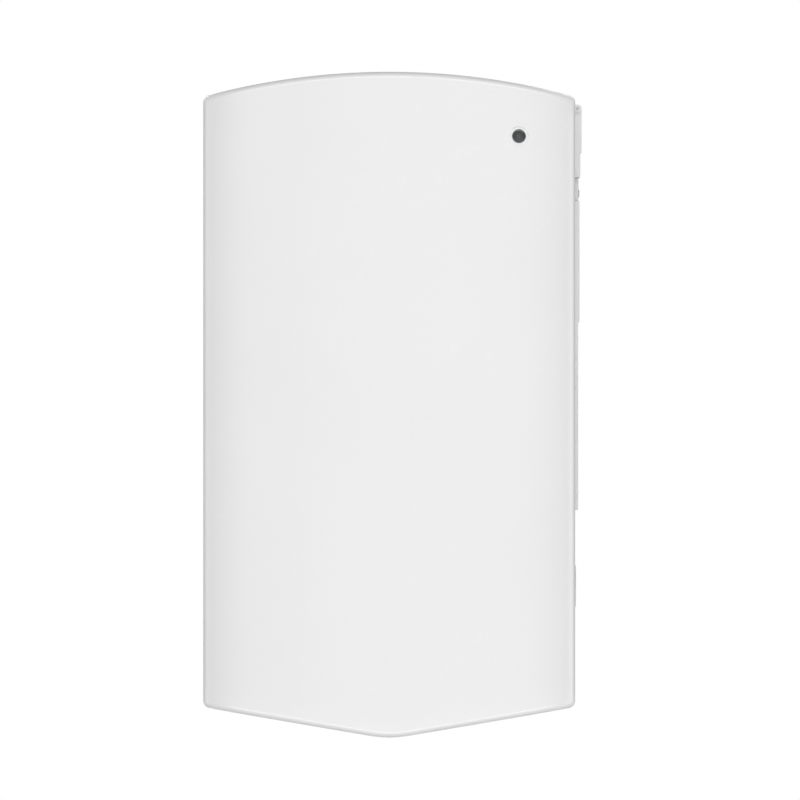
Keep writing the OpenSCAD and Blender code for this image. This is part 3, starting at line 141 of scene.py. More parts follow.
class Colours(bpy.types.PropertyGroup):
    """Colours of the finishes."""
    cover: colour("Covers", (0.830, 0.832, 0.830), "Moulded covers")
    # Painted glow: this colour, lighter than the rim, is painted into the middle of the smoked window to stand
    # in for light from the lamp behind it.
    lens: colour("Lens", (0.040, 0.042, 0.045), "Rim of the smoked window")
    lens_painted_glow: colour("Lens centre", (0.135, 0.138, 0.142), "Middle of the smoked window")
    case: colour("Case", (0.090, 0.094, 0.100), "Powder coat of the battery case")
    zinc: colour("Zinc", (0.600, 0.610, 0.620), "Galvanised bracket and frame")
    aluminium: colour("Aluminium", (0.780, 0.790, 0.800), "Lids and end plates")
    casting: colour("Casting", (0.560, 0.570, 0.580), "Inverter housings")
    rubber: colour("Rubber", (0.020, 0.020, 0.021), "Seals, grommets and cables")
    black: colour("Black plastic", (0.024, 0.024, 0.026), "Black mouldings")
    grey: colour("Grey plastic", (0.300, 0.305, 0.310), "Grey mouldings")
    breaker: colour("Breaker", (0.640, 0.640, 0.610), "Breaker housing")
    red: colour("Handle", (0.620, 0.030, 0.025), "Isolator handle")
    yellow: colour("Plate", (0.800, 0.560, 0.030), "Plate behind the handle")
    copper: colour("Copper", (0.860, 0.450, 0.300), "Busbars")
    brass: colour("Brass", (0.800, 0.600, 0.260), "Earth bar")
    board: colour("Board", (0.012, 0.120, 0.045), "Circuit boards")
    wrap: colour("Cell wrap", (0.045, 0.120, 0.330), "Film round the cells")
    fibre: colour("Fibre", (0.640, 0.580, 0.400), "Sheets between the cells")


class StageSettings(bpy.types.PropertyGroup):
    """Floor, lights and camera."""
    floor_drop: length("Floor drop", 1.55, "Distance of the floor below the origin")
    floor_radius: length("Floor radius", 25.0, "Radius of the floor")
    distance: length("Camera distance", 10.3, "Distance from the camera to the wall plane")
    frame_width: length("Frame width", 0.8, "Width that the camera sees at the cover's rim")
    ambient: FloatProperty(name="Ambient", description="Light from all round", default=0.235, min=0.0)
    key: FloatProperty(name="Key light", description="Strength of the front light", default=0.88, min=0.0)
    strip: FloatProperty(
        name="Strip lights", description="Power of the strips above and below", default=28.0, min=0.0)


# Finishes

class Wire:
    """A value or colour on its way through a material's nodes."""

    def __init__(self, finish, socket):
        self.finish = finish
        self.socket = socket

    def _sum(self, operation, first, second):
        return self.finish.node("ShaderNodeMath", {"operation": operation}, {0: first, 1: second})

    def __add__(self, other):
        return self._sum("ADD", self, other)

    def __radd__(self, other):
        return self._sum("ADD", other, self)

    def __sub__(self, other):
        return self._sum("SUBTRACT", self, other)

    def __rsub__(self, other):
        return self._sum("SUBTRACT", other, self)

    def __mul__(self, other):
        return self._sum("MULTIPLY", self, other)

    def __rmul__(self, other):
        return self._sum("MULTIPLY", other, self)

    def between(self, low, high):
        """0 below low, 1 above high, and straight between them."""
        return self.finish.node(
            "ShaderNodeMapRange", {"clamp": True}, {0: self, 1: low, 2: high, 3: 0.0, 4: 1.0})


class Finish:
    """One material made of nodes. The constants go on the shader's own sockets."""

    def __init__(self, name, **constants):
        self.material = bpy.data.materials.new(name)
        self.material.use_nodes = True
        self.tree = self.material.node_tree
        self.tree.nodes.clear()
        self.shader = self.tree.nodes.new("ShaderNodeBsdfPrincipled")
        surface = self.tree.nodes.new("ShaderNodeOutputMaterial")
        self.tree.links.new(self.shader.outputs[0], surface.inputs[0])
        for socket, value in constants.items():
            self.shader.inputs[socket.replace("_", " ")].default_value = value

    def node(self, kind, settings=None, values=None, output=0):
        """A node of that kind: its settings first, then the values or links of its sockets."""
        made = self.tree.nodes.new(kind)
        for setting, value in (settings or {}).items():
            if setting == "stops":
                ramp = made.color_ramp
                while len(ramp.elements) < len(value):
                    ramp.elements.new(0.5)
                for element, (place, shade) in zip(ramp.elements, value):
                    element.position = place
                    element.color = (*shade, 1.0)
            else:
                setattr(made, setting, value)
        for socket, value in (values or {}).items():
            if isinstance(value, Wire):
                self.tree.links.new(value.socket, made.inputs[socket])
            elif made.inputs[socket].type == "RGBA" and len(value) == 3:
                made.inputs[socket].default_value = (*value, 1.0)
            else:
                made.inputs[socket].default_value = value
        return Wire(self, made.outputs[output])

    def place(self, stretch=(1.0, 1.0, 1.0), centre=(0.0, 0.0, 0.0)):
        """The point on the piece, in metres from centre, stretched."""
        point = self.node("ShaderNodeTexCoord", output="Object")
        moved = self.node("ShaderNodeVectorMath", {"operation": "SUBTRACT"}, {0: point, 1: centre})
        return self.node("ShaderNodeVectorMath", {"operation": "MULTIPLY"}, {0: moved, 1: stretch})

    def noise(self, size, detail=2.0, stretch=(1.0, 1.0, 1.0), rough=0.5):
        """Noise from 0 to 1 with patches of that size in metres."""
        return self.node("ShaderNodeTexNoise", None, {
            "Vector": self.place(stretch), "Scale": 1.0 / size, "Detail": detail, "Roughness": rough})

    def blend(self, factor, low, high):
        """The colour low where factor is 0 and high where it is 1."""
        return self.node("ShaderNodeMix", {"data_type": "RGBA"}, {0: factor, 6: low, 7: high}, output=2)

    def shade(self, base, amount):
        """A darker or lighter copy of a colour."""
        return tuple(min(1.0, c * amount) for c in base)

    def skin(self, **wires):
        """Links what varies over the surface to the shader."""
        for socket, wire in wires.items():
            self.tree.links.new(wire.socket, self.shader.inputs[socket.replace("_", " ")])
        return self.material

    def relief(self, height, depth, strength=1.0):
        """A bump of that depth in metres."""
        return self.node("ShaderNodeBump", None, {"Height": height, "Distance": depth, "Strength": strength})


def moulded(name, base, rough=0.45, grain=0.0007, depth=0.00004, coat=0.0):
    """Moulded plastic: spark-eroded grain, slow changes of tone, and dust where it lies."""
    f = Finish(name, IOR=1.50, Coat_Roughness=0.17)
    tone = f.noise(0.12, 3.0)
    speckle = f.noise(grain, 2.0)
    wear = f.noise(0.022, 5.0, rough=0.65).between(0.60, 0.78)
    outward = f.node("ShaderNodeNewGeometry", output="Normal")
    up = f.node("ShaderNodeSeparateXYZ", None, {0: outward}, output=2)
    dust = up.between(0.55, 1.0) * f.noise(0.006, 4.0).between(0.35, 0.75)
    shade = f.blend(tone.between(0.3, 0.7), f.shade(base, 0.988), f.shade(base, 1.006))
    shade = f.blend(speckle.between(0.35, 0.65) * 0.35, shade, f.shade(base, 0.975))
    shade = f.blend(wear * 0.10, shade, f.shade(base, 0.93))
    shade = f.blend(dust * 0.16, shade, (0.52, 0.50, 0.47))
    return f.skin(
        Base_Color=shade,
        Roughness=rough + speckle * 0.10 + wear * 0.08 + dust * 0.2,
        Coat_Weight=coat * (1.0 - wear),
        Normal=f.relief(speckle + f.noise(grain * 3.5, 2.0) * 0.6, depth, 0.8))


def spangled(name, base):
    """Hot-dip zinc: crystals of differing tone, dulled by white bloom."""
    f = Finish(name, Specular_IOR_Level=0.5)
    crystal = f.node(
        "ShaderNodeTexVoronoi", None, {"Vector": f.place(), "Scale": 110.0, "Randomness": 1.0}, output="Color")
    flake = f.node("ShaderNodeSeparateColor", None, {0: crystal})
    bloom = f.noise(0.03, 5.0, rough=0.6).between(0.52, 0.72)
    shade = f.blend(flake, f.shade(base, 0.80), f.shade(base, 1.12))
    shade = f.blend(bloom * 0.45, shade, (0.66, 0.67, 0.67))
    return f.skin(
        Base_Color=shade,
        Metallic=0.92 - bloom * 0.5,
        Roughness=0.34 + flake * 0.16 + bloom * 0.2,
        Normal=f.relief(flake * 0.5 + f.noise(0.0015, 2.0), 0.00003, 0.6))


def powder_coat(name, base):
    """Powder coat with its orange peel and a few rubbed patches."""
    f = Finish(name, IOR=1.5)
    peel = f.noise(0.0011, 2.0)
    rub = f.noise(0.035, 6.0, rough=0.7).between(0.62, 0.75)
    shade = f.blend(peel.between(0.3, 0.7), f.shade(base, 0.90), f.shade(base, 1.10))
    shade = f.blend(rub * 0.25, shade, f.shade(base, 1.7))
    return f.skin(
        Base_Color=shade, Roughness=0.42 + peel * 0.12 - rub * 0.1, Normal=f.relief(peel, 0.00008, 0.7))


def brushed(name, base, stretch, rough=0.30, tarnish=(0.6, 0.6, 0.6), stain=0.25):
    """Brushed metal: fine lines one way, with stains that dull it."""
    f = Finish(name)
    line = f.noise(1.0, 3.0, stretch=stretch)
    stains = f.noise(0.04, 5.0, rough=0.6).between(0.50, 0.75)
    shade = f.blend(line.between(0.25, 0.75), f.shade(base, 0.88), f.shade(base, 1.05))
    shade = f.blend(stains * stain, shade, tarnish)
    return f.skin(
        Base_Color=shade, Metallic=1.0 - stains * 0.12, Roughness=rough + line * 0.14 + stains * 0.15,
        Normal=f.relief(line, 0.00002, 0.5))


def shot_blasted(name, base):
    """Die casting after shot blasting: fine pits, and flow marks in its tone."""
    f = Finish(name)
    pit = f.node("ShaderNodeTexVoronoi", None, {"Vector": f.place(), "Scale": 900.0})
    flow = f.noise(0.05, 4.0, stretch=(1.0, 1.0, 0.35))
    shade = f.blend(flow.between(0.3, 0.7), f.shade(base, 0.86), f.shade(base, 1.06))
    shade = f.blend(pit.between(0.0, 0.35), f.shade(base, 0.75), shade)
    return f.skin(
        Base_Color=shade, Metallic=0.88 + flow * 0.1, Roughness=0.46 + flow * 0.2,
        Normal=f.relief(pit + f.noise(0.0008, 2.0), 0.00006, 0.8))


def plated(name, base):
    """Zinc-plated steel: bright, with a faint blue and straw cast."""
    f = Finish(name)
    cast = f.noise(0.012, 4.0)
    scratch = f.noise(1.0, 2.0, stretch=(900.0, 120.0, 300.0))
    shade = f.blend(cast.between(0.35, 0.65), f.shade(base, 0.94), (base[0], base[1] * 0.985, base[2] * 0.90))
    return f.skin(
        Base_Color=shade, Metallic=1.0 - scratch * 0.05, Roughness=0.22 + cast * 0.16 + scratch * 0.08,
        Normal=f.relief(scratch, 0.00001, 0.5))


def rubbery(name, base):
    """Black rubber with bloom and fine talc."""
    f = Finish(name, IOR=1.45)
    talc = f.noise(0.004, 6.0, rough=0.7).between(0.50, 0.80)
    grain = f.noise(0.0006, 2.0)
    shade = f.blend(talc * 0.4, base, f.shade(base, 4.0))
    return f.skin(
        Base_Color=shade, Roughness=0.62 + talc * 0.25 + grain * 0.05, Normal=f.relief(grain, 0.00005, 0.6))


def scratched(name, base):
    """Painted plate with hairline scratches and a worn rim."""
    f = Finish(name, IOR=1.5)
    hair = f.noise(1.0, 2.0, stretch=(60.0, 1400.0, 60.0)).between(0.68, 0.74)
    tone = f.noise(0.02, 4.0)
    shade = f.blend(tone.between(0.3, 0.7), f.shade(base, 0.92), f.shade(base, 1.05))
    shade = f.blend(hair * 0.5, shade, (0.75, 0.70, 0.55))
    return f.skin(
        Base_Color=shade, Roughness=0.36 + tone * 0.15 + hair * 0.2,
        Normal=f.relief(1.0 - hair, 0.00002, 0.5))


def circuit(name, base):
    """Circuit board: tracks under green mask, tinned pads and a faint weave."""
    f = Finish(name, IOR=1.5)
    point = f.place()
    across = f.node("ShaderNodeSeparateXYZ", None, {0: point})
    upward = f.node("ShaderNodeSeparateXYZ", None, {0: point}, output=2)
    flat = f.node("ShaderNodeCombineXYZ", None, {0: across, 1: upward})
    tracks = f.node("ShaderNodeTexBrick", {"offset": 0.37, "squash": 1.6, "squash_frequency": 3}, {
        "Vector": flat, "Scale": 90.0, "Mortar Size": 0.045, "Brick Width": 0.9, "Row Height": 0.22},
        output="Fac")
    dots = f.node("ShaderNodeTexVoronoi", None, {"Vector": flat, "Scale": 190.0, "Randomness": 0.85})
    pad = 1.0 - dots.between(0.10, 0.16)
    weave = f.noise(0.0007, 2.0)
    shade = f.blend(tracks, base, f.shade(base, 2.3))
    shade = f.blend(weave * 0.3, shade, f.shade(base, 0.7))
    shade = f.blend(pad, shade, (0.70, 0.68, 0.60))
    return f.skin(
        Base_Color=shade, Metallic=pad * 0.9, Roughness=0.30 + weave * 0.12,
        Normal=f.relief(tracks * 0.6 + pad + weave * 0.1, 0.00008, 0.7))


def components(name, base):
    """Moulded parts of a board, each of its own tone."""
    f = Finish(name, IOR=1.5)
    kind = f.node("ShaderNodeSeparateColor", None, {0: f.node(
        "ShaderNodeTexVoronoi", None, {"Vector": f.place(), "Scale": 24.0}, output="Color")})
    grain = f.noise(0.0005, 2.0)
    shade = f.blend(kind.between(0.4, 1.0), base, f.shade(base, 3.2))
    shade = f.blend(grain * 0.3, shade, f.shade(base, 1.6))
    return f.skin(
        Base_Color=shade, Roughness=0.38 + kind * 0.25 + grain * 0.05, Normal=f.relief(grain, 0.00004, 0.6))


def film(name, base):
    """Shrink film round a cell: wrinkles along it, glossy in places."""
    f = Finish(name, IOR=1.5, Coat_Roughness=0.15)
    wrinkle = f.noise(1.0, 3.0, stretch=(160.0, 160.0, 24.0))
    scuff = f.noise(0.02, 5.0, rough=0.65).between(0.55, 0.75)
    shade = f.blend(wrinkle.between(0.25, 0.75), f.shade(base, 0.82), f.shade(base, 1.25))
    shade = f.blend(scuff * 0.25, shade, (0.30, 0.34, 0.42))
    return f.skin(
        Base_Color=shade, Roughness=0.24 + wrinkle * 0.15 + scuff * 0.2, Coat_Weight=0.4 - scuff * 0.3,
        Normal=f.relief(wrinkle, 0.00025, 0.5))


def fibre(name, base):
    """Pressed fibre sheet."""
    f = Finish(name, IOR=1.4)
    strand = f.noise(1.0, 5.0, stretch=(500.0, 900.0, 200.0), rough=0.7)
    shade = f.blend(strand.between(0.3, 0.7), f.shade(base, 0.78), f.shade(base, 1.12))
    return f.skin(Base_Color=shade, Roughness=0.72 + strand * 0.2, Normal=f.relief(strand, 0.00012, 0.8))


def smoked(name, rim, middle, centre, radius):
    """Smoked window: darkest at its rim, with a painted glow of the lamp behind it that lightens its middle.
    """
    f = Finish(name, IOR=1.52, Coat_Roughness=0.05)
    away = f.node(
        "ShaderNodeVectorMath", {"operation": "LENGTH"}, {0: f.place(centre=centre)}, output="Value")
    # Painted glow: towards the centre the colour goes from the rim colour to the middle colour, a painted
    # stand-in for light from the lamp behind the window.
    painted_lamp_glow = 1.0 - away.between(radius * 0.10, radius * 0.66)
    haze = f.noise(0.0009, 3.0)
    shade = f.blend(painted_lamp_glow, rim, middle)
    shade = f.blend(haze * 0.12, shade, f.shade(middle, 1.25))
    return f.skin(Base_Color=shade, Roughness=0.16 + haze * 0.08, Coat_Weight=0.35 + haze * 0.1)


def acrylic(name):
    """Clear acrylic with draw lines."""
    f = Finish(name, IOR=1.49, Transmission_Weight=0.85)
    draw = f.noise(1.0, 3.0, stretch=(700.0, 40.0, 700.0))
    shade = f.blend(draw, (0.90, 0.95, 0.97), (0.97, 0.99, 1.0))
    return f.skin(Base_Color=shade, Roughness=0.06 + draw * 0.10, Normal=f.relief(draw, 0.00003, 0.4))


FINISHES = {}


def make_finishes(c, lens_radius):
    """Every finish of the unit, by the name of its slot in the record."""
    centre = (LENS_LOW + LENS_HIGH) / 2
    FINISHES.update({
        "cover_plastic": moulded("Cover plastic", c.cover, 0.46, 0.0008, 0.000035, 0.8),
        "galvanised_steel": spangled("Galvanised steel", c.zinc),
        "case_paint": powder_coat("Powder coat", c.case),
        "sheet_aluminium": brushed("Sheet aluminium", c.aluminium, (1500.0, 1500.0, 12.0)),
        "cast_aluminium": shot_blasted("Cast aluminium", c.casting),
        "zinc_steel": plated("Zinc-plated steel", (0.72, 0.73, 0.75)),
        "black_rubber": rubbery("Black rubber", c.rubber),
        "black_plastic": moulded("Black moulding", c.black, 0.42, 0.0006, 0.00003),
        "grey_plastic": moulded("Grey moulding", c.grey, 0.42, 0.0006, 0.00003),
        "breaker_plastic": moulded("Breaker moulding", c.breaker, 0.36, 0.0005, 0.00002),
        "red_plastic": moulded("Handle moulding", c.red, 0.28, 0.0009, 0.00002, 0.3),
        "yellow_plate": scratched("Isolator plate paint", c.yellow),
        "copper": brushed("Copper", c.copper, (12.0, 1500.0, 1500.0), 0.24, (0.45, 0.20, 0.12), 0.4),
        "brass": brushed("Brass", c.brass, (12.0, 1500.0, 1500.0), 0.24, (0.42, 0.30, 0.12), 0.4),
        "board_green": circuit("Circuit board", c.board),
        "board_parts": components("Board parts", c.black),
        "cell_wrap": film("Cell film", c.wrap),
        "spacer_sheet": fibre("Fibre sheet", c.fibre),
        "smoked_lens": smoked("Smoked window", c.lens, c.lens_painted_glow, tuple(centre), lens_radius),
        "clear_acrylic": acrylic("Clear acrylic"),
    })


def finish_for(slot):
    """The finish of a slot. The first call makes them all."""
    if not FINISHES:
        scene = bpy.context.scene
        make_finishes(scene.battery_colours, scene.battery_detail.lens_radius)
    return FINISHES[slot]


# Shaping tools

def upright(axis, foot):
    """A matrix that stands +Z along axis with its foot at that point."""
    turn = Vector((0.0, 0.0, 1.0)).rotation_difference(Vector(axis)).to_matrix().to_4x4()
    return Matrix.Translation(Vector(foot)) @ turn


def chain(bm, points):
    """Vertices joined by edges, for spinning."""
    verts = [bm.verts.new(p) for p in points]
    edges = [bm.edges.new(pair) for pair in zip(verts, verts[1:])]
    return verts + edges


def turned(bm, profile, axis, foot, steps=96):
    """A profile of (radius, height) pairs spun full circle round an axis."""
    stand = upright(axis, foot)
    line = chain(bm, [stand @ Vector((r, 0.0, h)) for r, h in profile])
    bmesh.ops.spin(
        bm, geom=line, cent=Vector(foot), axis=Vector(axis).normalized(), angle=math.tau, steps=steps,
        use_merge=True, dvec=(0.0, 0.0, 0.0))


def slab(bm, low, high, edge=0.0, segments=2):
    """A block between two corners with its edges rounded."""
    low, high = Vector(low), Vector(high)
    size = high - low
    place = Matrix.Translation((low + high) / 2) @ Matrix.Diagonal((*size, 1.0))
    made = bmesh.ops.create_cube(bm, size=1.0, matrix=place)["verts"]
    if edge:
        edges = list({e for v in made for e in v.link_edges})
        rounded = bmesh.ops.bevel(
            bm, geom=edges, offset=edge, offset_type="OFFSET", segments=segments, profile=0.5,
            affect="EDGES", material=-1, clamp_overlap=True)
        made = rounded["verts"]
    return made


def piece(name, bm, body, nodes, slot, sharp=35.0, doubles=1e-6):
    """Closes the bmesh into an object that rides on a body and stands for CAD nodes."""
    bmesh.ops.remove_doubles(bm, verts=bm.verts, dist=doubles)
    bmesh.ops.dissolve_degenerate(bm, edges=bm.edges, dist=doubles)
    bmesh.ops.recalc_face_normals(bm, faces=bm.faces)
    return settle(name, bm, body, nodes, slot, sharp)


def settle(name, bm, body, nodes, slot, sharp=35.0):
    """The bmesh as an object at the origin, smooth but for its sharp edges."""
    mesh = bpy.data.meshes.new(name)
    bm.to_mesh(mesh)
    bm.free()
    for polygon in mesh.polygons:
        polygon.use_smooth = True
    mesh.set_sharp_from_angle(angle=math.radians(sharp))
    mesh.materials.append(finish_for(slot))
    made = bpy.data.objects.new(name, mesh)
    bpy.context.scene.collection.objects.link(made)
    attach(made, body)
    if nodes:
        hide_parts(*nodes)
    return made


def rounded(obj, width, segments=2, limit=40.0):
    """Rounds the sharp edges of a finished piece."""
    bevel = obj.modifiers.new("Rounded edges", "BEVEL")
    bevel.width = width
    bevel.segments = segments
    bevel.profile = 0.5
    bevel.limit_method = "ANGLE"
    bevel.angle_limit = math.radians(limit)
    bevel.harden_normals = True
    bevel.use_clamp_overlap = True
    return obj


def refined(node, slot, width, segments=2, extra=None):
    """A merged copy of a CAD node with rounded edges, and any extra shape added to it."""
    source = frame["nodes"][node]
    bm = bmesh.new()
    bm.from_mesh(source.data)
    bmesh.ops.remove_doubles(bm, verts=bm.verts, dist=1e-6)
    bmesh.ops.dissolve_limit(
        bm, angle_limit=math.radians(0.4), use_dissolve_boundaries=False, verts=bm.verts, edges=bm.edges)
    if extra:
        extra(bm)
    bmesh.ops.recalc_face_normals(bm, faces=bm.faces)
    made = settle(node + "_piece", bm, source["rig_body"], [node], slot, 32.0)
    return rounded(made, width, segments) if width else made


def soften(bm, radius, skin, ends, segments=5):
    """Rounds the long outer edges of a side fitting: those on its skin, within the two ends in height."""
    bm.normal_update()
    edges = []
    for e in bm.edges:
        if len(e.link_faces) != 2 or min(v.co.x for v in e.verts) < skin:
            continue
        turned_out = sorted(abs(f.normal.x) for f in e.link_faces)
        middle = (e.verts[0].co + e.verts[1].co) / 2
        upright_edge = abs(e.verts[0].co.y - e.verts[1].co.y) < 1e-5
        outer = min(abs(middle.y - ends[0].y), abs(middle.y - ends[1].y)) < 0.0056
        level = min(abs(middle.z - ends[0].z), abs(middle.z - ends[1].z)) < 0.0005
        if turned_out[0] < 0.1 and turned_out[1] > 0.9 and ((upright_edge and outer) or level):
            edges.append(e)
    bmesh.ops.bevel(bm, geom=edges, offset=radius, offset_type="OFFSET", segments=segments, profile=0.5,
                    affect="EDGES", material=-1, clamp_overlap=True)


# Front cover

def cover_section(s):
    """Points (x, y) of half the front's plan section, from the middle to the side wall."""
    dome, shoulder, rim = s.dome_radius, s.shoulder_radius, s.rim_radius
    slope = s.shoulder_slope
    lean = math.asin((s.half_width - rim - (shoulder - rim) * math.sin(slope)) / (dome - shoulder))
    middle = Vector((0.0, dome - s.depth))
    side = middle + (dome - shoulder) * Vector((math.sin(lean), -math.cos(lean)))
    edge = side + (shoulder - rim) * Vector((math.sin(slope), -math.cos(slope)))
    points = []
    for centre, radius, start, end, steps in (
            (middle, dome, 0.0, lean, 16), (side, shoulder, lean, slope, 22),
            (edge, rim, slope, math.pi / 2, 8)):
        for i in range(steps):
            a = start + (end - start) * i / steps
            points.append((centre + radius * Vector((math.sin(a), -math.cos(a))), 1.0 if radius > rim else
                           (end - a) / (end - start)))
    points.append((Vector((s.half_width, edge.y)), 0.0))
    return points


def cover_height(s, x, top):
    """Height of the top or bottom edge of the covers at a distance x from the middle."""
    corner = s.half_width - s.corner_radius
    if top:
        radius = (s.half_width ** 2 + s.rise ** 2) / (2 * s.rise)
        low = s.crown - radius
        if x <= corner:
            return low + math.sqrt(radius ** 2 - x ** 2)
        centre = low + math.sqrt((radius - s.corner_radius) ** 2 - corner ** 2)
        return centre + math.sqrt(max(0.0, s.corner_radius ** 2 - (x - corner) ** 2))
    middle = s.tip_radius - s.tip
    if x <= s.tip_radius * math.sin(s.foot_slope):
        return middle - math.sqrt(s.tip_radius ** 2 - x ** 2)
    rise, run = math.sin(s.foot_slope), math.cos(s.foot_slope)
    if x <= corner + s.corner_radius * rise:
        return middle + (rise * x - s.tip_radius) / run
    centre = middle + (rise * corner - s.tip_radius + s.corner_radius) / run
    return centre - math.sqrt(max(0.0, s.corner_radius ** 2 - (x - corner) ** 2))


def cover_shell(bm, s):
    """A grid shaped into the dome and its rounded edges, with walls drawn back from its rim."""
    half = cover_section(s)
    section = [(Vector((-p.x, p.y)), k) for p, k in reversed(half[1:])] + half
    fillet, faces = 7, 40
    rows = 2 * fillet + faces
    grid = bmesh.ops.create_grid(bm, x_segments=len(section) - 1, y_segments=rows, size=0.5)["verts"]
    for v in grid:
        point, keep = section[round((v.co.x + 0.5) * (len(section) - 1))]
        row = round((v.co.y + 0.5) * rows)
        low, high = (cover_height(s, abs(point.x), top) for top in (False, True))
        radius = s.edge_radius * keep
        step = min(row, rows - row, fillet)
        a = math.pi / 2 * step / fillet
        share = min(1.0, max(0.0, (row - fillet) / faces))
        inward = radius * (1.0 - math.cos(a)) * (1 if row < rows / 2 else -1)
        if step < fillet:
            z = (high if row > rows / 2 else low) + inward
        else:
            z = low + radius + (high - low - 2 * radius) * share
        v.co = (point.x, point.y + radius * (1.0 - math.sin(a)), z)
    bmesh.ops.remove_doubles(bm, verts=bm.verts, dist=1e-6)
    rim = [e for e in bm.edges if e.is_boundary]
    drawn = bmesh.ops.extrude_edge_only(bm, edges=rim)["geom"]
    for v in drawn:
        if isinstance(v, bmesh.types.BMVert):
            v.co.y = -s.rear


def front_surface(s, x):
    """Depth of the outside of the cover at a distance x from the middle."""
    points = [p for p, _ in cover_section(s)]
    for a, b in zip(points, points[1:]):
        if a.x <= x <= b.x and b.x > a.x:
            return a.y + (b.y - a.y) * (x - a.x) / (b.x - a.x)
    return points[-1].y


def cover_sockets(bm, s):
    """The four sockets that grip the studs, each between two ribs."""
    lip = s.boss_radius - 0.001
    for axis_x in (GROMMET_LOW.x + lip, GROMMET_HIGH.x - lip):
        for z in (GROMMET_LOW.z + lip, GROMMET_HIGH.z - lip):
            before = set(bm.verts)
            reach = s.depth - s.boss_rear
            turned(bm, [
                (0.0, reach), (s.boss_radius, reach), (s.boss_radius, 0.0006), (s.boss_radius - 0.0006, 0.0),
                (0.0044, 0.0), (0.0044, 0.003), (0.0052, 0.003), (0.0052, 0.009), (0.0044, 0.009),
                (0.0044, 0.015), (0.0, 0.015)], (0.0, -1.0, 0.0), (axis_x, -s.boss_rear, z), 40)
            for side in (-1, 1):
                low, high = sorted((z + side * (s.boss_radius - 0.001), z + side * 0.024))
                slab(bm, (axis_x - s.rib / 2, -s.depth, low),
                     (axis_x + s.rib / 2, -s.boss_rear - 0.004, high))
            for v in set(bm.verts) - before:
                if v.co.y < -s.depth + 0.0005:
                    v.co.y = front_surface(s, abs(v.co.x)) + s.wall * 0.5


class BATTERY_OT_front_cover(bpy.types.Operator):
    """Domed front cover with its sockets and the opening for the status light"""
    bl_idname = "battery.front_cover"
    bl_label = "Front cover"

    def execute(self, context):
        s, d = context.scene.battery_cover, context.scene.battery_detail
        bm = bmesh.new()
        cover_shell(bm, s)
        shell = piece("front_cover_piece", bm, "front", ["front_cover"], "cover_plastic", 30.0)
        wall = shell.modifiers.new("Wall", "SOLIDIFY")
        wall.thickness = s.wall
        wall.offset = -1.0
        wall.use_even_offset = True
        bm = bmesh.new()
        centre, out = light_axis(s, d.light_in)
        bore, reach = d.lens_radius + 0.0014, 0.012
        turned(bm, [(0.0, -reach), (bore, -reach), (bore, reach), (0.0, reach)], out, centre, 72)
        cutter = piece("light_cutter", bm, "front", [], "cover_plastic")
        opening = shell.modifiers.new("Light opening", "BOOLEAN")
        opening.operation = "DIFFERENCE"
        opening.solver = "EXACT"
        opening.object = cutter
        bake(shell, 30.0)
        bpy.data.objects.remove(cutter)
        bm = bmesh.new()
        cover_sockets(bm, s)
        join(shell, bm)
        refined("cover_seal", "black_rubber", 0.0004)
        refined("cover_grommets", "black_rubber", 0.0003)
        return {"FINISHED"}


def bake(obj, sharp):
    """Turns an object's modifiers into its mesh."""
    bpy.context.view_layer.update()
    graph = bpy.context.evaluated_depsgraph_get()
    mesh = bpy.data.meshes.new_from_object(obj.evaluated_get(graph))
    obj.modifiers.clear()
    obj.data = mesh
    for polygon in mesh.polygons:
        polygon.use_smooth = True
    mesh.set_sharp_from_angle(angle=math.radians(sharp))


def join(obj, extra):
    """Adds the shapes of a second bmesh to an object's mesh."""
    bmesh.ops.remove_doubles(extra, verts=extra.verts, dist=1e-6)
    bmesh.ops.recalc_face_normals(extra, faces=extra.faces)
    added = bpy.data.meshes.new("added")
    extra.to_mesh(added)
    extra.free()
    for polygon in added.polygons:
        polygon.use_smooth = True
    bm = bmesh.new()
    bm.from_mesh(obj.data)
    bm.from_mesh(added)
    bm.to_mesh(obj.data)
    bm.free()
    obj.data.set_sharp_from_angle(angle=math.radians(30.0))
    bpy.data.meshes.remove(added)


# Status light

def light_axis(s, light_in):
    """Centre of the status light on the cover's surface, and the direction out of it."""
    x = s.half_width - light_in
    lean = math.asin(x / s.dome_radius)
    y = s.dome_radius - s.depth - s.dome_radius * math.cos(lean)
    return Vector((x, y, (LENS_LOW.z + LENS_HIGH.z) / 2)), Vector((math.sin(lean), -math.cos(lean), 0.0))


class BATTERY_OT_status_light(bpy.types.Operator):
    """Smoked window, the ring round it, its light pipe and its board"""
    bl_idname = "battery.status_light"
    bl_label = "Status light"

    def execute(self, context):
        s, d = context.scene.battery_cover, context.scene.battery_detail
        centre, out = light_axis(s, d.light_in)
        r = d.lens_radius
        bm = bmesh.new()
        dome = [(r * math.cos(a), d.lens_dome * math.sin(a))
                for a in [math.pi / 2 * i / 10 for i in range(11)]]
        turned(bm, [(0.0, -0.004), (r - 0.0004, -0.004), (r, -0.0036)] + dome, out, centre)
        piece("status_lens_piece", bm, "front", ["status_lens"], "smoked_lens")
        bm = bmesh.new()
        foot = r + 0.0013
        half = d.ring_width / 2
        crown = [(r + half + half * math.cos(a), d.ring_height * math.sin(a))
                 for a in [math.pi * i / 14 for i in range(14)]]
        turned(bm, [(r, 0.0), (r, -0.0045), (foot, -0.0045), (foot, 0.0)] + crown + [(r, 0.0)], out, centre)
        piece("lens_bezel_piece", bm, "front", ["lens_bezel"], "cover_plastic")
        refined("light_pipe", "clear_acrylic", 0.0003)
        refined("status_board", "board_green", 0.0002)
        return {"FINISHED"}


# Side, top and bottom covers

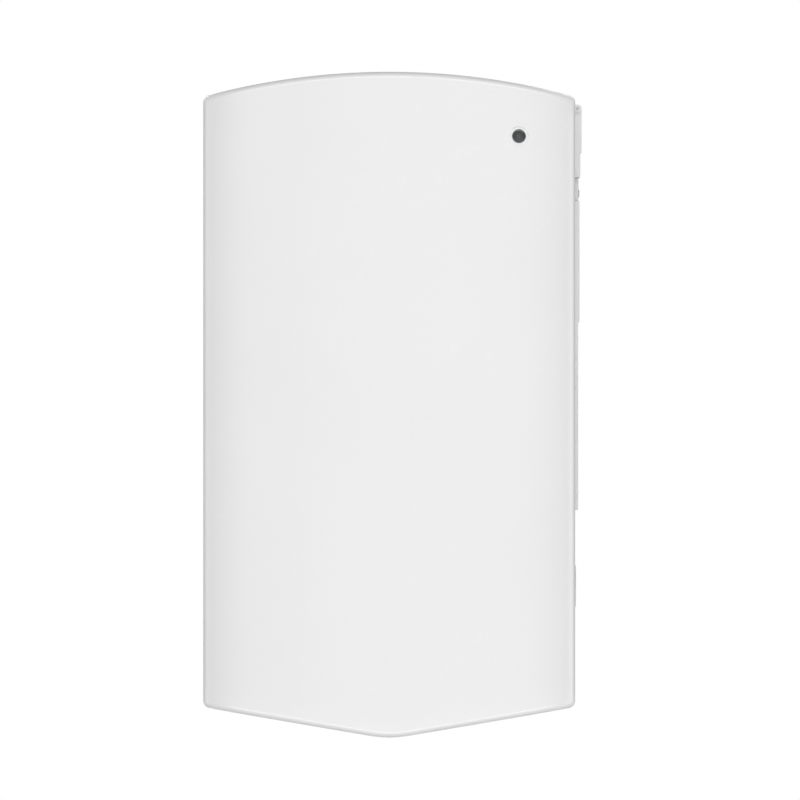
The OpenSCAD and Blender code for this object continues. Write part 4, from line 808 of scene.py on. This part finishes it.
class BATTERY_OT_side_covers(bpy.types.Operator):
    """Side, top and bottom covers with their screws and brackets"""
    bl_idname = "battery.side_covers"
    bl_label = "Side covers"

    def execute(self, context):
        d = context.scene.battery_detail
        for node in ("left_side_cover", "right_side_cover", "top_cover", "bottom_grille"):
            refined(node, "cover_plastic", d.cover_edge)
        refined("side_cover_screws", "zinc_steel", 0.0003)
        refined("cover_brackets", "zinc_steel", d.sheet_edge)
        refined("cover_studs", "zinc_steel", 0.0003)
        return {"FINISHED"}


# Right side fittings

def vent_blades(d):
    """Returns the shaper that adds a sloping blade inside each slot of the vent panel."""
    def add(bm):
        soften(bm, d.vent_edge, VENT_LOW.x + 0.004, (VENT_LOW, VENT_HIGH))
        for i in range(d.slots):
            z = VENT_LOW.z + 0.012 + (i + 0.5) * d.slot_pitch
            made = slab(bm, (-0.0030, VENT_LOW.y + 0.0135, -d.blade / 2),
                        (0.0030, VENT_HIGH.y - 0.0135, d.blade / 2), 0.0004, 1)
            tilt = Matrix.Rotation(d.blade_slope, 3, "Y")
            bmesh.ops.rotate(bm, verts=made, cent=(0.0, 0.0, 0.0), matrix=tilt)
            bmesh.ops.translate(bm, verts=made, vec=(VENT_LOW.x + 0.0028, 0.0, z))
    return add


class BATTERY_OT_side_fittings(bpy.types.Operator):
    """Isolator flap, vent panel, cable cap and reset button"""
    bl_idname = "battery.side_fittings"
    bl_label = "Side fittings"

    def execute(self, context):
        d = context.scene.battery_detail
        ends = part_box("isolator_flap")
        refined("isolator_flap", "cover_plastic", 0.0006, 2,
                lambda bm: soften(bm, d.flap_edge, ends[1].x - 0.0019, ends))
        refined("flap_pins", "zinc_steel", 0.0003)
        refined("vent_panel", "cover_plastic", 0.0005, 2, vent_blades(d))
        middle = (CAP_LOW + CAP_HIGH) / 2
        radius = (CAP_HIGH.y - CAP_LOW.y) / 2
        face = context.scene.battery_cover.half_width
        height = CAP_HIGH.x - face
        lip = 0.002
        bm = bmesh.new()
        crown = [(radius - lip + lip * math.cos(a), height - lip + lip * math.sin(a))
                 for a in [math.pi / 2 * i / 8 for i in range(9)]]
        plug = radius - 0.004
        turned(bm, [(plug, 0.0), (radius - 0.0004, 0.0), (radius, 0.0004)] + crown + [
            (radius - 0.0055, height), (radius - 0.0062, height - 0.0007), (radius - 0.0069, height),
            (0.0, height)], (1.0, 0.0, 0.0), (face, middle.y, middle.z))
        turned(bm, [(plug, 0.0), (plug, CAP_LOW.x - face + 0.0006), (plug - 0.0006, CAP_LOW.x - face),
                    (plug - 0.002, CAP_LOW.x - face), (plug - 0.002, 0.0003), (0.0, 0.0003)],
               (1.0, 0.0, 0.0), (face, middle.y, middle.z))
        piece("side_cap_piece", bm, "chassis", ["side_cap"], "cover_plastic")
        middle = (BUTTON_LOW + BUTTON_HIGH) / 2
        radius, collar, stem, proud = 0.004, 0.0056, 0.002, BUTTON_HIGH.x
        collar_low, collar_high = 0.1815, 0.1827
        dish_edge, dish_depth, steps = radius - 0.0006, 0.0005, 6
        bm = bmesh.new()
        dish = [(dish_edge * (1 - i / steps), proud - dish_depth * (i / steps) * (2 - i / steps))
                for i in range(steps + 1)]
        turned(bm, [
            (0.0, BUTTON_LOW.x), (stem - 0.0003, BUTTON_LOW.x), (stem, BUTTON_LOW.x + 0.0003),
            (stem, collar_low), (collar, collar_low), (collar, collar_high), (radius, collar_high),
            (radius, proud - 0.0006),
            (radius - 0.0002, proud - 0.0002)] + dish, (1.0, 0.0, 0.0), (0.0, middle.y, middle.z), 64)
        piece("reset_button_piece", bm, "button", ["reset_button"], "grey_plastic")
        refined("reset_switch", "black_plastic", 0.0003)
        return {"FINISHED"}


# Isolator

class BATTERY_OT_isolator(bpy.types.Operator):
    """Isolator with its plate and the red handle on its shaft"""
    bl_idname = "battery.isolator"
    bl_label = "Isolator"

    def execute(self, context):
        middle = (HANDLE_LOW + HANDLE_HIGH) / 2
        radius = (HANDLE_HIGH.z - HANDLE_LOW.z) / 2
        back, thick = 0.1736, 0.004
        shaft, grip = 0.004, 0.004
        ridges, ridge_pitch = 7, 0.0042
        bm = bmesh.new()
        turned(bm, [
            (0.0, HANDLE_LOW.x), (shaft - 0.0005, HANDLE_LOW.x), (shaft, HANDLE_LOW.x + 0.0005),
            (shaft, back), (radius - 0.0008, back), (radius, back + 0.0006), (radius, back + thick - 0.0006),
            (radius - 0.0012, back + thick), (0.0, back + thick)],
               (1.0, 0.0, 0.0), (0.0, middle.y, middle.z), 96)
        slab(bm, (back + 0.003, middle.y - grip, middle.z - radius + 0.0015),
             (HANDLE_HIGH.x, middle.y + grip, middle.z + radius - 0.0015), 0.0016, 4)
        for y in (middle.y - grip, middle.y + grip):
            for i in range(ridges):
                z = middle.z + (i - (ridges - 1) / 2) * ridge_pitch
                slab(bm, (back + 0.006, y - 0.0005, z - 0.0009),
                     (HANDLE_HIGH.x - 0.002, y + 0.0003, z + 0.0009), 0.0003, 1)
        piece("isolator_handle_piece", bm, "handle", ["isolator_handle"], "red_plastic")
        refined("isolator_body", "black_plastic", 0.0008)
        refined("isolator_plate", "yellow_plate", 0.0004)
        return {"FINISHED"}


# Inside

class BATTERY_OT_inverters(bpy.types.Operator):
    """Four cast inverters with their plugs and the bus cable"""
    bl_idname = "battery.inverters"
    bl_label = "Inverters"

    def execute(self, context):
        d = context.scene.battery_detail
        for i in range(1, 5):
            refined(f"microinverter_{i}", "cast_aluminium", d.casting_edge)
        refined("inverter_plugs", "black_plastic", 0.0012)
        refined("ac_bus", "black_rubber", 0.0003)
        return {"FINISHED"}


class BATTERY_OT_battery(bpy.types.Operator):
    """Cells, end plates, straps, busbars and the electronics of the battery"""
    bl_idname = "battery.battery"
    bl_label = "Battery"

    def execute(self, context):
        for node, slot, width in (
                ("cells", "cell_wrap", 0.0012), ("cell_spacers", "spacer_sheet", 0.0),
                ("end_plates", "sheet_aluminium", 0.0006), ("module_straps", "zinc_steel", 0.0003),
                ("busbars", "copper", 0.0004), ("bms_board", "board_green", 0.0002),
                ("bms_components", "board_parts", 0.0005), ("board_standoffs", "grey_plastic", 0.0003),
                ("main_fuse", "grey_plastic", 0.0012), ("contactor", "black_plastic", 0.0010),
                ("dc_cables", "black_rubber", 0.0003), ("pass_grommets", "black_rubber", 0.0005),
                ("breather_plug", "grey_plastic", 0.0005)):
            refined(node, slot, width)
        return {"FINISHED"}


class BATTERY_OT_wiring(bpy.types.Operator):
    """Wiring compartment with its rail, breaker, terminals, boards and conduit hub"""
    bl_idname = "battery.wiring"
    bl_label = "Wiring compartment"

    def execute(self, context):
        d = context.scene.battery_detail
        for node, slot, width in (
                ("wiring_box", "case_paint", d.sheet_edge), ("wiring_box_rim", "case_paint", 0.0003),
                ("wiring_box_lid", "sheet_aluminium", d.sheet_edge),
                ("din_rail", "zinc_steel", 0.0003), ("ac_breaker", "breaker_plastic", 0.0007),
                ("breaker_toggle", "black_plastic", 0.0007), ("terminal_blocks", "grey_plastic", 0.0004),
                ("terminal_screws", "zinc_steel", 0.0002), ("earth_bar", "brass", 0.0004),
                ("comms_board", "board_green", 0.0002), ("conduit_hub", "cast_aluminium", 0.0008),
                ("hub_locknut", "zinc_steel", 0.0006)):
            refined(node, slot, width)
        return {"FINISHED"}


class BATTERY_OT_case(bpy.types.Operator):
    """Battery case, its lid and screws, and what hangs it on the wall"""
    bl_idname = "battery.case"
    bl_label = "Case and bracket"

    def execute(self, context):
        d = context.scene.battery_detail
        for node, slot, width in (
                ("battery_case", "case_paint", d.sheet_edge), ("case_lid", "sheet_aluminium", d.sheet_edge),
                ("lid_gaskets", "black_rubber", 0.0003), ("machine_screws", "zinc_steel", 0.0004),
                ("wall_bracket", "galvanised_steel", d.sheet_edge),
                ("hanger_frame", "galvanised_steel", d.sheet_edge)):
            refined(node, slot, width)
        return {"FINISHED"}


# Stage

def soft_light(name, kind, energy, place, size=1.0, target=(0.0, -0.2, 0.0)):
    """A light that looks at the target. A sun's size is its angle."""
    data = bpy.data.lights.new(name, kind)
    data.energy = energy
    if kind == "SUN":
        data.angle = size
    else:
        data.shape = "RECTANGLE"
        data.size, data.size_y = size
    lamp = bpy.data.objects.new(name, data)
    bpy.context.scene.collection.objects.link(lamp)
    lamp.location = place
    lamp.rotation_euler = (Vector(target) - Vector(place)).to_track_quat("-Z", "Y").to_euler()
    lamp.visible_camera = False
    return lamp


class BATTERY_OT_stage(bpy.types.Operator):
    """Pale floor, white surroundings, soft lights and the camera"""
    bl_idname = "battery.stage"
    bl_label = "Stage"

    def execute(self, context):
        t = context.scene.battery_stage
        bm = bmesh.new()
        bmesh.ops.create_circle(bm, cap_ends=True, segments=96, radius=t.floor_radius,
                                matrix=Matrix.Translation((0.0, 0.0, -t.floor_drop)))
        mesh = bpy.data.meshes.new("floor")
        bm.to_mesh(mesh)
        bm.free()
        floor = bpy.data.objects.new("floor", mesh)
        context.scene.collection.objects.link(floor)
        f = Finish("Studio floor", Specular_IOR_Level=0.2,
                   Emission_Color=(1.0, 1.0, 1.0, 1.0), Emission_Strength=0.5)
        mesh.materials.append(f.skin(
            Base_Color=f.blend(f.noise(0.4, 3.0), (0.80, 0.80, 0.80), (0.84, 0.84, 0.84)),
            Roughness=0.7 + f.noise(0.05, 3.0) * 0.1))
        floor.visible_diffuse = False
        world = bpy.data.worlds.new("Studio")
        context.scene.world = world
        world.use_nodes = True
        tree = world.node_tree
        tree.nodes.clear()
        seen = tree.nodes.new("ShaderNodeLightPath")
        near = tree.nodes.new("ShaderNodeBackground")
        far = tree.nodes.new("ShaderNodeBackground")
        near.inputs[0].default_value = (1.0, 1.0, 1.0, 1.0)
        near.inputs[1].default_value = t.ambient
        far.inputs[0].default_value = (1.0, 1.0, 1.0, 1.0)
        far.inputs[1].default_value = 1.0
        both = tree.nodes.new("ShaderNodeMixShader")
        tree.links.new(seen.outputs["Is Camera Ray"], both.inputs[0])
        tree.links.new(near.outputs[0], both.inputs[1])
        tree.links.new(far.outputs[0], both.inputs[2])
        out = tree.nodes.new("ShaderNodeOutputWorld")
        tree.links.new(both.outputs[0], out.inputs[0])
        key = soft_light("Key", "SUN", t.key, (0.3, -6.0, 0.0), math.radians(35))
        key.visible_glossy = False
        soft_light("Upper strip", "AREA", t.strip, (0.1, -2.15, 1.18), (5.0, 0.30), (0.0, -0.3, 0.0))
        soft_light("Lower strip", "AREA", t.strip, (0.1, -2.15, -1.18), (5.0, 0.30), (0.0, -0.3, 0.0))
        soft_light("Right strip", "AREA", t.strip * 0.14, (2.2, -0.75, -0.4), (0.3, 1.6), (0.1, -0.28, 0.0))
        soft_light("Left strip", "AREA", t.strip * 0.10, (-2.2, -0.75, 0.0), (0.4, 2.2), (-0.1, -0.28, 0.0))
        soft_light("Back left", "SUN", 0.7, (-4.0, 5.0, 3.0), math.radians(30))
        soft_light("Back right", "SUN", 0.6, (3.0, 5.0, 4.0), math.radians(30))
        camera = bpy.data.objects.new("Camera", bpy.data.cameras.new("Camera"))
        context.scene.collection.objects.link(camera)
        camera.data.sensor_width = 36.0
        camera.data.lens = 36.0 * (t.distance - 0.285) / t.frame_width
        camera.data.clip_end = 100.0
        camera.location = (0.0108, -t.distance, 0.0047)
        camera.rotation_euler = (math.pi / 2, 0.0, 0.0)
        context.scene.camera = camera
        context.scene.view_settings.view_transform = "Standard"
        return {"FINISHED"}


class BATTERY_PT_panel(bpy.types.Panel):
    """Lists the operators and their sizes"""
    bl_idname = "BATTERY_PT_panel"
    bl_label = "Wall battery unit"
    bl_space_type = "VIEW_3D"
    bl_region_type = "UI"
    bl_category = "Battery"

    def draw(self, context):
        for operator in PIECES:
            self.layout.operator(operator.bl_idname)
        for group in SETTINGS:
            box = self.layout.box()
            for name in SETTINGS[group].__annotations__:
                box.prop(getattr(context.scene, group), name)


SETTINGS = {
    "battery_cover": CoverSizes, "battery_detail": DetailSizes,
    "battery_colours": Colours, "battery_stage": StageSettings,
}
PIECES = (
    BATTERY_OT_stage, BATTERY_OT_front_cover, BATTERY_OT_status_light, BATTERY_OT_side_covers,
    BATTERY_OT_side_fittings, BATTERY_OT_isolator, BATTERY_OT_inverters, BATTERY_OT_battery,
    BATTERY_OT_wiring, BATTERY_OT_case,
)


def register():
    """Registers the settings, the operators and the panel."""
    for group, kind in SETTINGS.items():
        bpy.utils.register_class(kind)
        setattr(bpy.types.Scene, group, PointerProperty(type=kind))
    for kind in (*PIECES, BATTERY_PT_panel):
        bpy.utils.register_class(kind)


def unregister():
    """Takes them all away again."""
    for kind in reversed((*PIECES, BATTERY_PT_panel)):
        bpy.utils.unregister_class(kind)
    for group, kind in SETTINGS.items():
        delattr(bpy.types.Scene, group)
        bpy.utils.unregister_class(kind)


def main():
    """Builds the unit piece by piece."""
    register()
    for operator in PIECES:
        group, name = operator.bl_idname.split(".")
        getattr(getattr(bpy.ops, group), name)()


if __name__ == "__main__":
    main()
